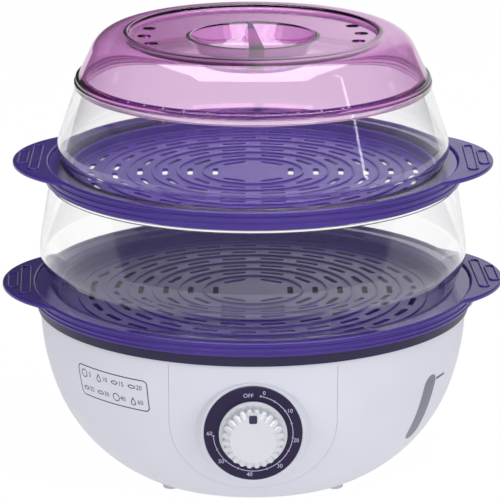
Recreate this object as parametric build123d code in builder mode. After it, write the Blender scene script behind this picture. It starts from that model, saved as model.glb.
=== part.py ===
from build123d import *
import os
from math import acos, asin, atan2, cos, hypot, pi, radians, sin, sqrt, tan

# Two-tier electric food steamer, in millimetres. The origin is on the vertical axis at the
# plane that the feet stand on, +Z is up and the timer dial faces -Y.

os.makedirs("parts", exist_ok=True)

# ------------------------------------------------------------------ driving dimensions
# Clearances
shaft_gap = 0.05  # radial, a turning shaft in its bore and a screw in its hole
fixed_gap = 0.15  # around an insert that stays put
turn_gap = 0.5  # between the knob's back and the dial
lift_gap = 0.5  # radial, around what lifts off
nest_gap = 1.3  # radial, between rims that nest

# Bowl-shaped base: an upper arc that is upright at the rim, and a tighter arc below a knee
foot_height = 3.0
bowl_rim_r = 136.4
bowl_rim_z = 108.6
upper_bow = 147.6
lower_bow = 102.0
knee_z = 57.3
bowl_wall = 2.6

# Underside: a ledge that the bottom cover seats against, feet and cover screws
land_width = 12.0
ledge_width = 10.0
ledge_thickness = 2.6
cover_thickness = 2.5
foot_r = 5.0
foot_stem_r = 2.2
foot_stem_length = 1.6
cover_screw_r = 1.75
cover_screw_head_r = 3.4
cover_screw_length = 16.0
leg_r = 4.5
vent_slot_length = 16.0
vent_slot_width = 2.4
vent_slot_count = 12

# Control panel: a U-shaped insert with a cone-shaped boss that carries an upright dial
panel_half_width = 51.5
panel_center_z = 68.0
panel_lip_reach = 4.5
panel_lip_thickness = 2.0
dial_z = 66.0
dial_proud = 0.6  # that the dial's seat stands out past the bowl's rim
dial_r = 30.0
dial_thickness = 1.2
dial_hole_r = 17.0
boss_margin = 1.5
boss_depth = 40.0
boss_flare = 13.0

# Knob and clockwork timer
knob_flange_r = 21.2
knob_flange_thickness = 2.0
knob_r = 18.2
knob_depth = 13.6
knob_shoulder = 3.0
knob_wall = 2.2
knob_flute_count = 24
knob_flute_r = 1.25
knob_flute_sink = 0.25  # of the flutes' centres, inside the knob's side
pointer_size = 5.4
pointer_depth = 0.9
hub_r = 5.5
shaft_r = 3.0
shaft_flat = 0.7
shaft_grip = 9.0
shaft_root = 14.0
shaft_hole_r = 5.0
timer_r = 21.5
timer_depth = 20.0
timer_plate_length = 57.0
timer_plate_width = 14.0
timer_plate_thickness = 1.5
timer_screw_r = 1.45
timer_screw_head_r = 2.7
timer_screw_length = 5.0
timer_screw_reach = 24.5
bell_r = 13.0
bell_depth = 7.0
bell_wall = 0.8
spade_width = 4.8
spade_thickness = 0.8
spade_length = 8.0
spade_side = 4.5
spade_drop = 6.0

# Water basin
flange_thickness = 2.6
basin_wall = 2.2
flange_width = 6.9
shoulder_z = 99.2
shoulder_fall = 2.0
well_r = 91.8
well_floor_z = 36.0
heater_hole_r = 33.0

# Level window in the bowl's side, on the right of the dial
window_azimuth = 56.5
window_z = 59.8
window_length = 45.2
window_width = 13.5
chamber_lap = 2.5
chamber_depth = 8.0
chamber_wall = 1.5
port_rise = 6.0
port_r = 2.0
nipple_r = 3.2
nipple_length = 4.5
hose_wall = 1.3

# Filler spout at the right side, between notches in the shell and the basin
spout_half_width = 10.0
spout_wall = 2.0
spout_overhang = 4.0  # past the drip tray's rim
spout_lap = 3.5  # inside the basin's neck
spout_floor_z = 101.0
spout_lip_rise = 3.7
spout_root_rise = 3.8
spout_toe_rise = 7.2
spout_toe_lean = 1.8
spout_bay_gap = 4.0

# Heater
plate_r = 37.0
plate_thickness = 2.5
gasket_thickness = 1.2
gasket_lap = 2.0
casting_r = 29.0
casting_bore_r = 12.0
casting_depth = 10.2
clamp_r = 46.0
clamp_thickness = 2.0
clamp_hole_r = 9.5
clamp_notch_r = 11.5
clamp_screw_circle = 41.0
clamp_boss_r = 4.0
clamp_screw_r = 1.45
clamp_screw_head_r = 2.8
clamp_screw_head = 1.8
clamp_screw_length = 7.5
screw_slot_width = 0.8
terminal_circle = 21.0
terminal_spread = 50.0
terminal_r = 2.0
terminal_root = 5.0
terminal_drop = 12.0
terminal_clearance = 1.5
thermostat_r = 8.0
thermostat_depth = 9.0
thermostat_spade_x = 4.0
fuse_r = 2.2
fuse_length = 12.0
fuse_y = 34.0

# Cord gland at the back, and the wiring inside
gland_z = 25.0
gland_bore_r = 3.3
gland_body_r = 6.0
gland_collar_r = 9.0
gland_collar_thickness = 3.0
gland_nut_r = 9.2
gland_nut_thickness = 4.0
gland_thread_end = 1.5
gland_seat_r = 10.5
gland_seat_proud = 8.7
gland_seat_sink = 12.8
block_length = 26.0
block_width = 11.0
block_height = 12.0
block_inset = 10.0  # from the ledge that the cover seats against
block_screw_r = 2.2
block_screw_depth = 4.0
wire_r = 1.1

# Steam ring round the heater
steam_ring_r = 50.0
steam_ring_top_r = 46.0
steam_ring_height = 26.0
steam_ring_wall = 2.0
steam_port_width = 12.0
steam_port_height = 5.0
steam_port_count = 4

# Drip tray
drip_overhang = 2.1  # past the bowl's rim
drip_rim_height = 10.0
drip_rim_wall = 2.5
drip_wall = 2.2
dish_depth = 5.6
chimney_r = 32.0
chimney_height = 8.6

# Steaming trays
tray_wall = 2.2
rim_wall = 2.7
rim_rise = 5.8
ear_thickness = 3.0
ear_r = 72.0
ear_root_r = 10.0
ear_edge_r = 1.0
tray_ledge = 4.5
tray_well_depth = 5.6
slot_length = 16.0
slot_width = 3.4
slot_row_pitch = 16.0
first_slot_row = 24.0
slot_spacing = 24.0
slot_margin = 6.0
rib_width = 1.4
rib_height = 1.0
grip_rib_width = 7.2
grip_rib_wall = 1.4
grip_rib_height = 0.8
grip_rib_inset = 14.5
grip_rib_length = 62.0
tip_rib_inset = 6.4
tip_rib_length = 34.0
lower_skirt = 3.0
lower_ear_reach = 18.0
lower_turn = 3.0  # degrees that the lower tray's ears stand off the X axis
upper_skirt = 5.3
upper_skirt_gap = 2.0
upper_ear_reach = 19.8
upper_turn = 0.0

# Clear food rings: they swell above the foot, then narrow to the top. Insets are from the
# edge of each ring's flange.
ring_wall = 2.2
lower_ring_height = 76.8
lower_foot_inset = 11.1
lower_swell_inset = 3.1
lower_swell_rise = 24.2
lower_swell_below = 14.0
lower_swell_above = 60.0
lower_top_inset = 11.0
lower_bead = 0.9
lower_bead_height = 1.6
lower_bead_drop = 6.5
upper_ring_height = 55.5
upper_foot_inset = 10.3
upper_swell_inset = 5.3
upper_swell_rise = 11.9
upper_swell_below = 8.0
upper_swell_above = 20.0
upper_top_inset = 19.3
upper_bead = 2.6
upper_bead_height = 3.6

# Lid: upright wall, rolled shoulder, sunk top with a round grip pocket and a web across it
lid_wall = 2.4
lid_set_back = 1.0
lid_flange_height = 2.6
lid_step = 1.7
lid_lean = 25.2  # degrees that the lid's side leans inwards
lid_spigot_gap = 1.6
lid_spigot_wall = 1.8
lid_spigot_drop = 5.3
lid_height = 31.1
lid_bow = 19.0
recess_inset = 33.6
recess_depth = 4.5
pocket_r = 39.5
pocket_floor_r = 30.0
pocket_depth = 14.8
web_front_width = 9.5
web_back_width = 2.4
vent_r = 4.4
vent_inset = 10.0
vent_spacing = 19.0
vent_count = 3
lid_edge_r = 1.2
lid_turn = 3.3  # degrees that the lid's grip stands off the Y axis

# ------------------------------------------------------------------ derived places
reach = 2 * bowl_rim_r  # longer than any cut through the base
shell_top = bowl_rim_z - flange_thickness
neck_r = bowl_rim_r - flange_width
dial_face_y = bowl_rim_r + dial_proud
ledge_z = foot_height + cover_thickness
ledge_top = ledge_z + ledge_thickness
basin_underside = well_floor_z - basin_wall
drip_top = bowl_rim_z + drip_rim_height
lower_channel_z = drip_top + tray_wall
lower_ring_top = lower_channel_z + lower_ring_height
upper_channel_z = lower_ring_top + tray_wall
upper_ring_top = upper_channel_z + upper_ring_height
lid_top = upper_ring_top + lid_height

drip_rim_r = bowl_rim_r + drip_overhang
spout_inner_x = neck_r - spout_lap
spout_reach = drip_rim_r + spout_overhang
lower_rim_r = drip_rim_r + nest_gap + rim_wall
lower_tip_x = lower_rim_r + lower_ear_reach
lower_flange_r = lower_rim_r - rim_wall - lift_gap
lower_foot_r = lower_flange_r - lower_foot_inset
lower_swell_r = lower_flange_r - lower_swell_inset
lower_top_r = lower_flange_r - lower_top_inset
upper_rim_r = lower_top_r + upper_skirt_gap + rim_wall
upper_tip_x = upper_rim_r + upper_ear_reach
upper_flange_r = upper_rim_r - rim_wall - lift_gap
upper_foot_r = upper_flange_r - upper_foot_inset
upper_swell_r = upper_flange_r - upper_swell_inset
upper_top_r = upper_flange_r - upper_top_inset
lid_flange_r = upper_top_r + upper_bead - lid_set_back
recess_r = lid_flange_r - recess_inset
vent_circle = recess_r - vent_inset

knee_angle = asin((bowl_rim_z - knee_z) / upper_bow)
upper_center_r = bowl_rim_r - upper_bow
lower_center_r = upper_center_r + (upper_bow - lower_bow) * cos(knee_angle)
lower_center_z = knee_z + lower_bow * sin(knee_angle)


# ------------------------------------------------------------------ shared shapes
def knee_height(inset):
    """Height where the two arcs meet, on the bowl's face or one inset from it."""
    return bowl_rim_z - (upper_bow - inset) * sin(knee_angle)


def bowl_r(z, inset=0.0):
    """Radius of the bowl's outer face, or of a face inset from it, at height z."""
    if z > knee_height(inset):
        return upper_center_r + sqrt((upper_bow - inset) ** 2 - (bowl_rim_z - z) ** 2)
    return lower_center_r + sqrt((lower_bow - inset) ** 2 - (lower_center_z - z) ** 2)


def bowl_side(low, high, inset=0.0):
    """Draw the bowl's side, or one inset from it, between two heights."""
    knee = knee_height(inset)
    stops = [low, knee, high] if low < knee < high else [low, high]
    for start, end in zip(stops, stops[1:]):
        middle = (start + end) / 2
        ThreePointArc(*[(bowl_r(z, inset), z) for z in (start, middle, end)])


def bowl_skin(low, high, outer, inner):
    """Section between two faces inset from the bowl's outer face."""
    with BuildSketch(Plane.XZ) as section:
        with BuildLine():
            bowl_side(low, high, outer)
            bowl_side(low, high, inner)
            Line((bowl_r(low, outer), low), (bowl_r(low, inner), low))
            Line((bowl_r(high, outer), high), (bowl_r(high, inner), high))
        make_face()
    return section.sketch


def outline(*points):
    """Section with straight sides through (radius, height) points."""
    with BuildSketch(Plane.XZ) as section:
        with BuildLine():
            Polyline(*points, close=True)
        make_face()
    return section.sketch


def countersunk_screw(head_r, shank_r, length):
    """Screw that points up, with its head's face at the origin."""
    with BuildPart() as body:
        revolve(
            outline(
                (0, 0),
                (head_r, 0),
                (shank_r, head_r - shank_r),
                (shank_r, length - shank_r),
                (0, length),
            ),
            axis=Axis.Z,
        )
        Box(2 * head_r, screw_slot_width, head_r - shank_r, mode=Mode.SUBTRACT)
    return body.part


def wire(points, radii):
    """Wire along straight runs joined by tangent arcs."""
    with BuildPart() as body:
        with BuildLine() as route:
            FilletPolyline(*points, radius=radii)
        with BuildSketch(Plane(origin=route.line @ 0, z_dir=route.line % 0)):
            Circle(wire_r)
        sweep(path=route.line)
    return body.part


def four_corners(radius):
    """Four places at 45 degrees to the axes."""
    return PolarLocations(radius, 4, start_angle=45)


# ------------------------------------------------------------------ base shell
cover_seat_r = bowl_r(foot_height) - land_width
ledge_r = cover_seat_r - ledge_width
foot_circle = bowl_r(foot_height) - land_width / 2
block_y = ledge_r - block_inset
leg_circle = cover_seat_r - ledge_width / 2

window_radial = (sin(radians(window_azimuth)), -cos(radians(window_azimuth)), 0)
window_plane = Plane(origin=(0, 0, window_z), x_dir=(0, 0, 1), z_dir=window_radial)
port_z = window_z - window_length / 2 + port_rise
port_plane = Plane(origin=(0, 0, port_z), x_dir=(0, 0, 1), z_dir=window_radial)
gland_plane = Plane(origin=(0, 0, gland_z), x_dir=(1, 0, 0), z_dir=(0, 1, 0))
gland_seat_inner_y = bowl_r(gland_z) - gland_seat_sink
gland_seat_outer_y = bowl_r(gland_z) + gland_seat_proud


def panel_outline(grow):
    """U-shaped outline of the control panel, grown or shrunk by a margin."""
    half_width = panel_half_width + grow
    straight = bowl_rim_z - panel_center_z
    with BuildSketch(Plane.XZ) as section:
        with Locations((0, panel_center_z)):
            Circle(half_width)
        with Locations((0, panel_center_z + straight / 2)):
            Rectangle(2 * half_width, straight)
    return section.sketch


def spout_notch():
    """Outline of the notch that the filler spout sits in, seen along the X axis."""
    height = reach - spout_floor_z
    with BuildSketch(Plane.YZ.offset(spout_inner_x - fixed_gap)) as section:
        with Locations((0, spout_floor_z - fixed_gap + height / 2)):
            Rectangle(2 * (spout_half_width + fixed_gap), height)
    return section.sketch


with BuildPart() as base_shell:
    with BuildSketch(Plane.XZ):
        with BuildLine():
            bowl_side(foot_height, shell_top)
            Line((bowl_r(shell_top), shell_top), (bowl_r(shell_top, bowl_wall), shell_top))
            bowl_side(ledge_top, shell_top, bowl_wall)
            Polyline(
                (bowl_r(ledge_top, bowl_wall), ledge_top),
                (ledge_r, ledge_top),
                (ledge_r, ledge_z),
                (cover_seat_r, ledge_z),
                (cover_seat_r, foot_height),
                (bowl_r(foot_height), foot_height),
            )
        make_face()
    revolve(axis=Axis.Z)
    # flat-faced seat for the cord gland, through the sloping wall
    with BuildSketch(gland_plane.offset(gland_seat_inner_y)):
        Circle(gland_seat_r)
    extrude(amount=gland_seat_outer_y - gland_seat_inner_y)
    with BuildSketch(gland_plane.offset(gland_seat_inner_y)):
        Circle(gland_body_r + fixed_gap)
    extrude(amount=reach, mode=Mode.SUBTRACT)
    # openings for the control panel, the level window and the filler spout
    extrude(panel_outline(0), amount=reach, mode=Mode.SUBTRACT)
    with BuildSketch(window_plane):
        SlotOverall(window_length, window_width)
    extrude(amount=reach, mode=Mode.SUBTRACT)
    extrude(spout_notch(), amount=reach, mode=Mode.SUBTRACT)
    # screw holes in the ledge and sockets for the feet
    with BuildSketch(Plane.XY.offset(ledge_z)):
        with four_corners(leg_circle):
            Circle(cover_screw_r + fixed_gap)
    extrude(amount=ledge_thickness, mode=Mode.SUBTRACT)
    with BuildSketch(Plane.XY.offset(foot_height)):
        with four_corners(foot_circle):
            Circle(foot_stem_r + shaft_gap)
    extrude(amount=foot_stem_length + fixed_gap, mode=Mode.SUBTRACT)
base_shell.part.label = "base_shell"
export_step(base_shell.part, "parts/base_shell.step")

# ------------------------------------------------------------------ control panel
# The panel continues the bowl's face and snaps in behind the opening's edge with a lip. A
# cone-shaped boss swells out of it, and its upright face carries the dial.
panel_low = panel_center_z - panel_half_width - panel_lip_reach
lip_high = shoulder_z - shoulder_fall - basin_wall - lift_gap
lip_inset = bowl_wall + panel_lip_thickness
boss_r = dial_r + boss_margin
boss_slope = boss_flare / boss_depth
dial_plane = Plane(origin=(0, -dial_face_y, dial_z), x_dir=(1, 0, 0), z_dir=(0, 1, 0))


def screw_places():
    """The timer's two screws, left and right of the dial's axis."""
    return Locations((-timer_screw_reach, 0), (timer_screw_reach, 0))


def boss_cone(face_y, face_r, depth):
    """Section of a cone round the dial's axis that widens towards the back."""
    back_y = face_y - depth
    with BuildSketch(Plane.YZ) as section:
        with BuildLine():
            Polyline(
                (-face_y, dial_z),
                (-face_y, dial_z + face_r),
                (-back_y, dial_z + face_r + depth * boss_slope),
                (-back_y, dial_z),
                close=True,
            )
        make_face()
    return section.sketch


dial_axis = Axis((0, 0, dial_z), (0, 1, 0))

with BuildPart() as panel_lip:
    revolve(bowl_skin(panel_low, lip_high, bowl_wall + fixed_gap, lip_inset), axis=Axis.Z)
    extrude(panel_outline(panel_lip_reach), amount=reach, mode=Mode.INTERSECT)

with BuildPart() as panel_edge:
    revolve(bowl_skin(panel_low, lip_high, 0, lip_inset), axis=Axis.Z)
    extrude(panel_outline(-fixed_gap), amount=reach, mode=Mode.INTERSECT)
    add(panel_lip.part)
    extrude(panel_outline(-panel_lip_reach), amount=reach, mode=Mode.SUBTRACT)

with BuildPart() as dial_boss:
    revolve(boss_cone(dial_face_y, boss_r, boss_depth), axis=dial_axis)
    with BuildSketch(Plane.XZ):
        with BuildLine():
            bowl_side(ledge_top, shell_top, bowl_wall)
            Polyline(
                (bowl_r(shell_top, bowl_wall), shell_top),
                (bowl_r(shell_top, bowl_wall), reach),
                (0, reach),
                (0, ledge_top),
                (bowl_r(ledge_top, bowl_wall), ledge_top),
            )
        make_face()
    revolve(axis=Axis.Z, mode=Mode.SUBTRACT)

with BuildPart() as control_panel:
    revolve(bowl_skin(panel_low, shell_top, 0, bowl_wall), axis=Axis.Z)
    extrude(panel_outline(-fixed_gap), amount=reach, mode=Mode.INTERSECT)
    add(panel_edge.part)
    add(dial_boss.part)
    # hollow behind the boss, and holes for the timer's shaft and screws
    revolve(
        boss_cone(dial_face_y - bowl_wall, boss_r - bowl_wall, 2 * boss_depth),
        axis=dial_axis,
        mode=Mode.SUBTRACT,
    )
    with BuildSketch(dial_plane):
        Circle(shaft_hole_r)
    extrude(amount=reach, mode=Mode.SUBTRACT)
    with Locations(Plane(origin=dial_plane.origin, x_dir=(1, 0, 0), z_dir=(0, -1, 0))):
        with screw_places():
            CounterSinkHole(timer_screw_r + shaft_gap, timer_screw_head_r + shaft_gap)
control_panel.part.label = "control_panel"
export_step(control_panel.part, "parts/control_panel.step")

# Printed ring round the knob, glued to the boss's face
with BuildPart() as dial_ring:
    with BuildSketch(dial_plane):
        Circle(dial_r)
        Circle(dial_hole_r, mode=Mode.SUBTRACT)
    extrude(amount=-dial_thickness)
    chamfer(dial_ring.faces().sort_by(Axis.Y)[0].outer_wire().edges(), length=dial_thickness / 3)
dial_ring.part.label = "dial_ring"
export_step(dial_ring.part, "parts/dial_ring.step")

# ------------------------------------------------------------------ timer knob
knob_back = dial_plane.offset(-dial_thickness - turn_gap)
knob_front = knob_back.offset(-knob_depth)
shaft_tip = knob_front.offset(knob_wall + fixed_gap)
pointer_x = knob_r - knob_shoulder - pointer_size / 2
knob_back_y = knob_back.origin.Y
knob_front_y = knob_front.origin.Y
knob_side_z = dial_z + knob_r

with BuildPart() as knob_body:
    with BuildSketch(knob_back):
        Circle(knob_r)
        with PolarLocations(knob_r - knob_flute_sink, knob_flute_count):
            Circle(knob_flute_r, mode=Mode.SUBTRACT)
    extrude(amount=-knob_depth)
    # rounded shoulder
    with BuildSketch(Plane.YZ):
        with BuildLine():
            Polyline(
                (knob_front_y, knob_side_z - knob_shoulder),
                (knob_front_y, dial_z),
                (knob_back_y, dial_z),
                (knob_back_y, knob_side_z),
                (knob_front_y + knob_shoulder, knob_side_z),
            )
            CenterArc(
                (knob_front_y + knob_shoulder, knob_side_z - knob_shoulder),
                knob_shoulder,
                90,
                90,
            )
        make_face()
    revolve(axis=dial_axis, mode=Mode.INTERSECT)

with BuildPart() as timer_knob:
    with BuildSketch(knob_back):
        Circle(knob_flange_r)
    extrude(amount=-knob_flange_thickness)
    add(knob_body.part)
    # hollow back with a hub that is bored for the shaft
    with BuildSketch(knob_back):
        Circle(knob_r - knob_flute_r - knob_wall)
        Circle(hub_r, mode=Mode.SUBTRACT)
    extrude(amount=knob_wall - knob_depth, mode=Mode.SUBTRACT)
    with BuildSketch(knob_back):
        Circle(shaft_r + shaft_gap)
    extrude(amount=knob_wall - knob_depth, mode=Mode.SUBTRACT)
    # pocket for the pointer inlay
    with BuildSketch(knob_front):
        with Locations((0, -pointer_x)):
            RectangleRounded(pointer_size, pointer_size, pointer_size / 5)
    extrude(amount=pointer_depth, mode=Mode.SUBTRACT)
timer_knob.part.label = "timer_knob"
export_step(timer_knob.part, "parts/timer_knob.step")

pointer_side = pointer_size - 2 * shaft_gap
with BuildPart() as knob_pointer:
    with BuildSketch(knob_front):
        with Locations((0, -pointer_x)):
            RectangleRounded(pointer_side, pointer_side, pointer_side / 5)
    extrude(amount=pointer_depth)
knob_pointer.part.label = "knob_pointer"
export_step(knob_pointer.part, "parts/knob_pointer.step")

# ------------------------------------------------------------------ timer
timer_seat = dial_plane.offset(bowl_wall)
timer_front = timer_seat.offset(timer_plate_thickness)
timer_back = timer_front.offset(timer_depth)
shaft_end = timer_seat.offset(shaft_root)
shaft_length = shaft_end.origin.Y - shaft_tip.origin.Y

with BuildPart() as timer_shaft:
    with BuildSketch(shaft_tip):
        Circle(shaft_r)
    extrude(amount=shaft_length)
    # flat that the knob's set spring bears on
    with BuildSketch(shaft_tip):
        with Locations((0, -shaft_r)):
            Rectangle(2 * shaft_r, 2 * shaft_flat)
    extrude(amount=shaft_grip, mode=Mode.SUBTRACT)
timer_shaft.part.label = "timer_shaft"
export_step(timer_shaft.part, "parts/timer_shaft.step")

with BuildPart() as timer_body:
    with BuildSketch(timer_seat):
        SlotOverall(timer_plate_length, timer_plate_width)
        Circle(timer_r)
    extrude(amount=timer_plate_thickness)
    with BuildSketch(timer_front):
        Circle(timer_r)
    extrude(amount=timer_depth)
    with BuildSketch(timer_seat):
        Circle(shaft_r + shaft_gap)
    extrude(amount=shaft_root + fixed_gap, mode=Mode.SUBTRACT)
    with BuildSketch(timer_seat):
        with screw_places():
            Circle(timer_screw_r + shaft_gap)
    extrude(amount=timer_plate_thickness, mode=Mode.SUBTRACT)
timer_body.part.label = "timer_body"
export_step(timer_body.part, "parts/timer_body.step")

timer_screw = countersunk_screw(timer_screw_head_r, timer_screw_r, timer_screw_length)
with BuildPart() as timer_screws:
    with Locations(dial_plane):
        with screw_places():
            add(timer_screw)
timer_screws.part.label = "timer_screws"
export_step(timer_screws.part, "parts/timer_screws.step")

# Bell cup on the timer's back, and the timer's two spade terminals beside it
with BuildPart() as timer_bell:
    with BuildSketch(timer_back):
        Circle(bell_r)
    extrude(amount=bell_depth)
    with BuildSketch(timer_back):
        Circle(bell_r - bell_wall)
        Circle(shaft_r, mode=Mode.SUBTRACT)
    extrude(amount=bell_depth - bell_wall, mode=Mode.SUBTRACT)
timer_bell.part.label = "timer_bell"
export_step(timer_bell.part, "parts/timer_bell.step")

spade_x = bell_r + spade_side
with BuildPart() as timer_terminals:
    with BuildSketch(timer_back):
        with Locations((-spade_x, spade_drop), (spade_x, spade_drop)):
            Rectangle(spade_thickness, spade_width)
    extrude(amount=spade_length)
timer_terminals.part.label = "timer_terminals"
export_step(timer_terminals.part, "parts/timer_terminals.step")

# ------------------------------------------------------------------ water basin
# One moulding: a flange that caps the shell, a shallow shoulder and a round well. Four legs
# under the well stand on the shell's ledge and take the cover's screws.
well_outer_r = well_r + basin_wall
gasket_top = well_floor_z + gasket_thickness
clamp_top = gasket_top - casting_depth

with BuildPart() as water_basin:
    revolve(
        outline(
            (bowl_rim_r, shell_top),
            (bowl_rim_r, bowl_rim_z),
            (neck_r, bowl_rim_z),
            (neck_r, shoulder_z),
            (well_r, shoulder_z - shoulder_fall),
            (well_r, well_floor_z),
            (heater_hole_r, well_floor_z),
            (heater_hole_r, basin_underside),
            (well_outer_r, basin_underside),
            (well_outer_r, shoulder_z - shoulder_fall - basin_wall),
            (neck_r + basin_wall, shoulder_z - basin_wall),
            (neck_r + basin_wall, shell_top),
        ),
        axis=Axis.Z,
    )
    with BuildSketch(Plane.XY.offset(ledge_top)):
        with four_corners(leg_circle):
            Circle(leg_r)
    extrude(amount=basin_underside - ledge_top)
    with BuildSketch(Plane.XY.offset(ledge_top)):
        with four_corners(leg_circle):
            Circle(cover_screw_r + shaft_gap)
    extrude(amount=cover_screw_length, mode=Mode.SUBTRACT)
    with BuildSketch(Plane.XY.offset(clamp_top)):
        with PolarLocations(clamp_screw_circle, 3, start_angle=90):
            Circle(clamp_boss_r)
    extrude(amount=basin_underside - clamp_top)
    with BuildSketch(Plane.XY.offset(clamp_top)):
        with PolarLocations(clamp_screw_circle, 3, start_angle=90):
            Circle(clamp_screw_r + shaft_gap)
    extrude(amount=clamp_screw_length - clamp_thickness, mode=Mode.SUBTRACT)
    # outlet to the level window
    with BuildSketch(port_plane.offset(well_r + basin_wall / 2)):
        Circle(nipple_r)
    extrude(amount=nipple_length + basin_wall / 2)
    with BuildSketch(port_plane.offset(well_r - basin_wall)):
        Circle(port_r)
    extrude(amount=nipple_length + 3 * basin_wall, mode=Mode.SUBTRACT)
    extrude(spout_notch(), amount=reach, mode=Mode.SUBTRACT)
water_basin.part.label = "water_basin"
export_step(water_basin.part, "parts/water_basin.step")

# ------------------------------------------------------------------ level window
# A frosted block behind the shell with a sight channel, whose face fills the slot.
chamber_inset = bowl_wall + fixed_gap
chamber_back_inset = chamber_inset + chamber_depth
chamber_low = window_z - window_length / 2 - chamber_wall
chamber_high = window_z + window_length / 2 + chamber_wall
channel_length = window_length - 2 * chamber_wall
channel_width = window_width - 2 * chamber_wall
chamber_width = window_width + 2 * chamber_lap
hose_r = nipple_r + shaft_gap + hose_wall
hose_start = well_outer_r + fixed_gap
hose_end = bowl_r(port_z - hose_r, chamber_back_inset) - fixed_gap

with BuildPart() as window_face:
    revolve(
        bowl_skin(chamber_low, chamber_high, fixed_gap, chamber_inset + chamber_wall),
        axis=Axis.Z,
    )
    with BuildSketch(window_plane):
        SlotOverall(window_length - 2 * fixed_gap, window_width - 2 * fixed_gap)
    extrude(amount=reach, mode=Mode.INTERSECT)

with BuildPart() as sight_channel:
    revolve(
        bowl_skin(chamber_low, chamber_high, chamber_wall, chamber_back_inset - chamber_wall),
        axis=Axis.Z,
    )
    with BuildSketch(window_plane):
        SlotOverall(channel_length, channel_width)
    extrude(amount=reach, mode=Mode.INTERSECT)

with BuildPart() as level_window:
    revolve(
        bowl_skin(chamber_low, chamber_high, chamber_inset, chamber_back_inset), axis=Axis.Z
    )
    with BuildSketch(window_plane):
        Rectangle(chamber_high - chamber_low, chamber_width)
    extrude(amount=reach, mode=Mode.INTERSECT)
    add(window_face.part)
    with BuildSketch(port_plane.offset(hose_end - nipple_length)):
        Circle(nipple_r)
    extrude(until=Until.NEXT)
    add(sight_channel.part, mode=Mode.SUBTRACT)
    with BuildSketch(port_plane.offset(hose_end - nipple_length)):
        Circle(port_r)
    extrude(amount=nipple_length + chamber_depth, mode=Mode.SUBTRACT)
level_window.part.label = "level_window"
export_step(level_window.part, "parts/level_window.step")

# Silicone sleeve that joins the basin's outlet to the level window
with BuildPart() as sight_hose:
    with BuildSketch(port_plane.offset(hose_start)):
        Circle(hose_r)
        Circle(nipple_r + shaft_gap, mode=Mode.SUBTRACT)
    extrude(amount=hose_end - hose_start)
sight_hose.part.label = "sight_hose"
export_step(sight_hose.part, "parts/sight_hose.step")

# ------------------------------------------------------------------ filler spout
# An open channel that lies in the notches, with a raised mouth outside the bowl's rim.
spout_lip_z = bowl_rim_z + spout_lip_rise
spout_low_z = bowl_rim_z - lift_gap
mouth_x = neck_r + basin_wall


def spout_section(inset, inner_x, low_z, mouth_z):
    """Side view of the spout, or of the channel inside it."""
    floor_z = spout_floor_z + inset
    root_x = bowl_r(spout_floor_z) - inset
    toe_z = spout_floor_z + spout_toe_rise + inset / 2
    with BuildSketch(Plane.XZ) as section:
        with BuildLine():
            Polyline(
                (inner_x, floor_z),
                (root_x, floor_z),
                (root_x, floor_z + spout_root_rise),
                (spout_reach - spout_toe_lean - inset, toe_z),
                (spout_reach - inset, mouth_z),
                (mouth_x, mouth_z),
                (mouth_x, low_z),
                (inner_x, low_z),
                close=True,
            )
        make_face()
    return section.sketch


with BuildPart() as filler_spout:
    extrude(
        spout_section(0, spout_inner_x, spout_low_z, spout_lip_z),
        amount=spout_half_width,
        both=True,
    )
    outer_edges = filler_spout.edges().filter_by(
        lambda edge: edge.center().X > spout_reach - spout_toe_lean
        and abs(edge.center().Y) > spout_half_width - spout_wall
    )
    fillet(outer_edges, radius=spout_wall)
    extrude(
        spout_section(
            spout_wall,
            spout_inner_x - spout_wall,
            spout_low_z + spout_wall,
            spout_lip_z + spout_wall,
        ),
        amount=spout_half_width - spout_wall,
        both=True,
        mode=Mode.SUBTRACT,
    )
filler_spout.part.label = "filler_spout"
export_step(filler_spout.part, "parts/filler_spout.step")

# ------------------------------------------------------------------ underside
with BuildPart() as bottom_cover:
    with BuildSketch(Plane.XY.offset(foot_height)):
        Circle(cover_seat_r - 2 * fixed_gap)
    extrude(amount=cover_thickness)
    with Locations(Plane(origin=(0, 0, foot_height), z_dir=(0, 0, -1))):
        with four_corners(leg_circle):
            CounterSinkHole(cover_screw_r + fixed_gap, cover_screw_head_r + fixed_gap)
    with BuildSketch(Plane.XY.offset(foot_height)):
        with PolarLocations(ledge_r / 2, vent_slot_count):
            SlotOverall(vent_slot_length, vent_slot_width)
    extrude(amount=cover_thickness, mode=Mode.SUBTRACT)
bottom_cover.part.label = "bottom_cover"
export_step(bottom_cover.part, "parts/bottom_cover.step")

cover_screw = countersunk_screw(cover_screw_head_r, cover_screw_r, cover_screw_length)
with BuildPart() as cover_screws:
    with Locations(Plane.XY.offset(foot_height)):
        with four_corners(leg_circle):
            add(cover_screw)
cover_screws.part.label = "cover_screws"
export_step(cover_screws.part, "parts/cover_screws.step")

with BuildPart() as feet:
    with BuildSketch(Plane.XY):
        with four_corners(foot_circle):
            Circle(foot_r)
    extrude(amount=foot_height)
    chamfer(feet.faces().filter_by(Axis.Z).group_by(Axis.Z)[0].edges(), length=foot_height / 5)
    with BuildSketch(Plane.XY.offset(foot_height)):
        with four_corners(foot_circle):
            Circle(foot_stem_r)
    extrude(amount=foot_stem_length)
feet.part.label = "feet"
export_step(feet.part, "parts/feet.step")

# ------------------------------------------------------------------ heater
# A steel plate closes the hole in the well's floor on a gasket. The cast element hangs
# under it, and a clamp plate pulls both against the floor.
plate_top = gasket_top + plate_thickness
clamp_low = clamp_top - clamp_thickness
terminal_x = terminal_circle * sin(radians(terminal_spread / 2))
terminal_y = -terminal_circle * cos(radians(terminal_spread / 2))
terminal_z = clamp_top - terminal_drop


def terminal_places():
    """The element's two ends, towards the front."""
    return Locations((-terminal_x, terminal_y), (terminal_x, terminal_y))


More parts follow.
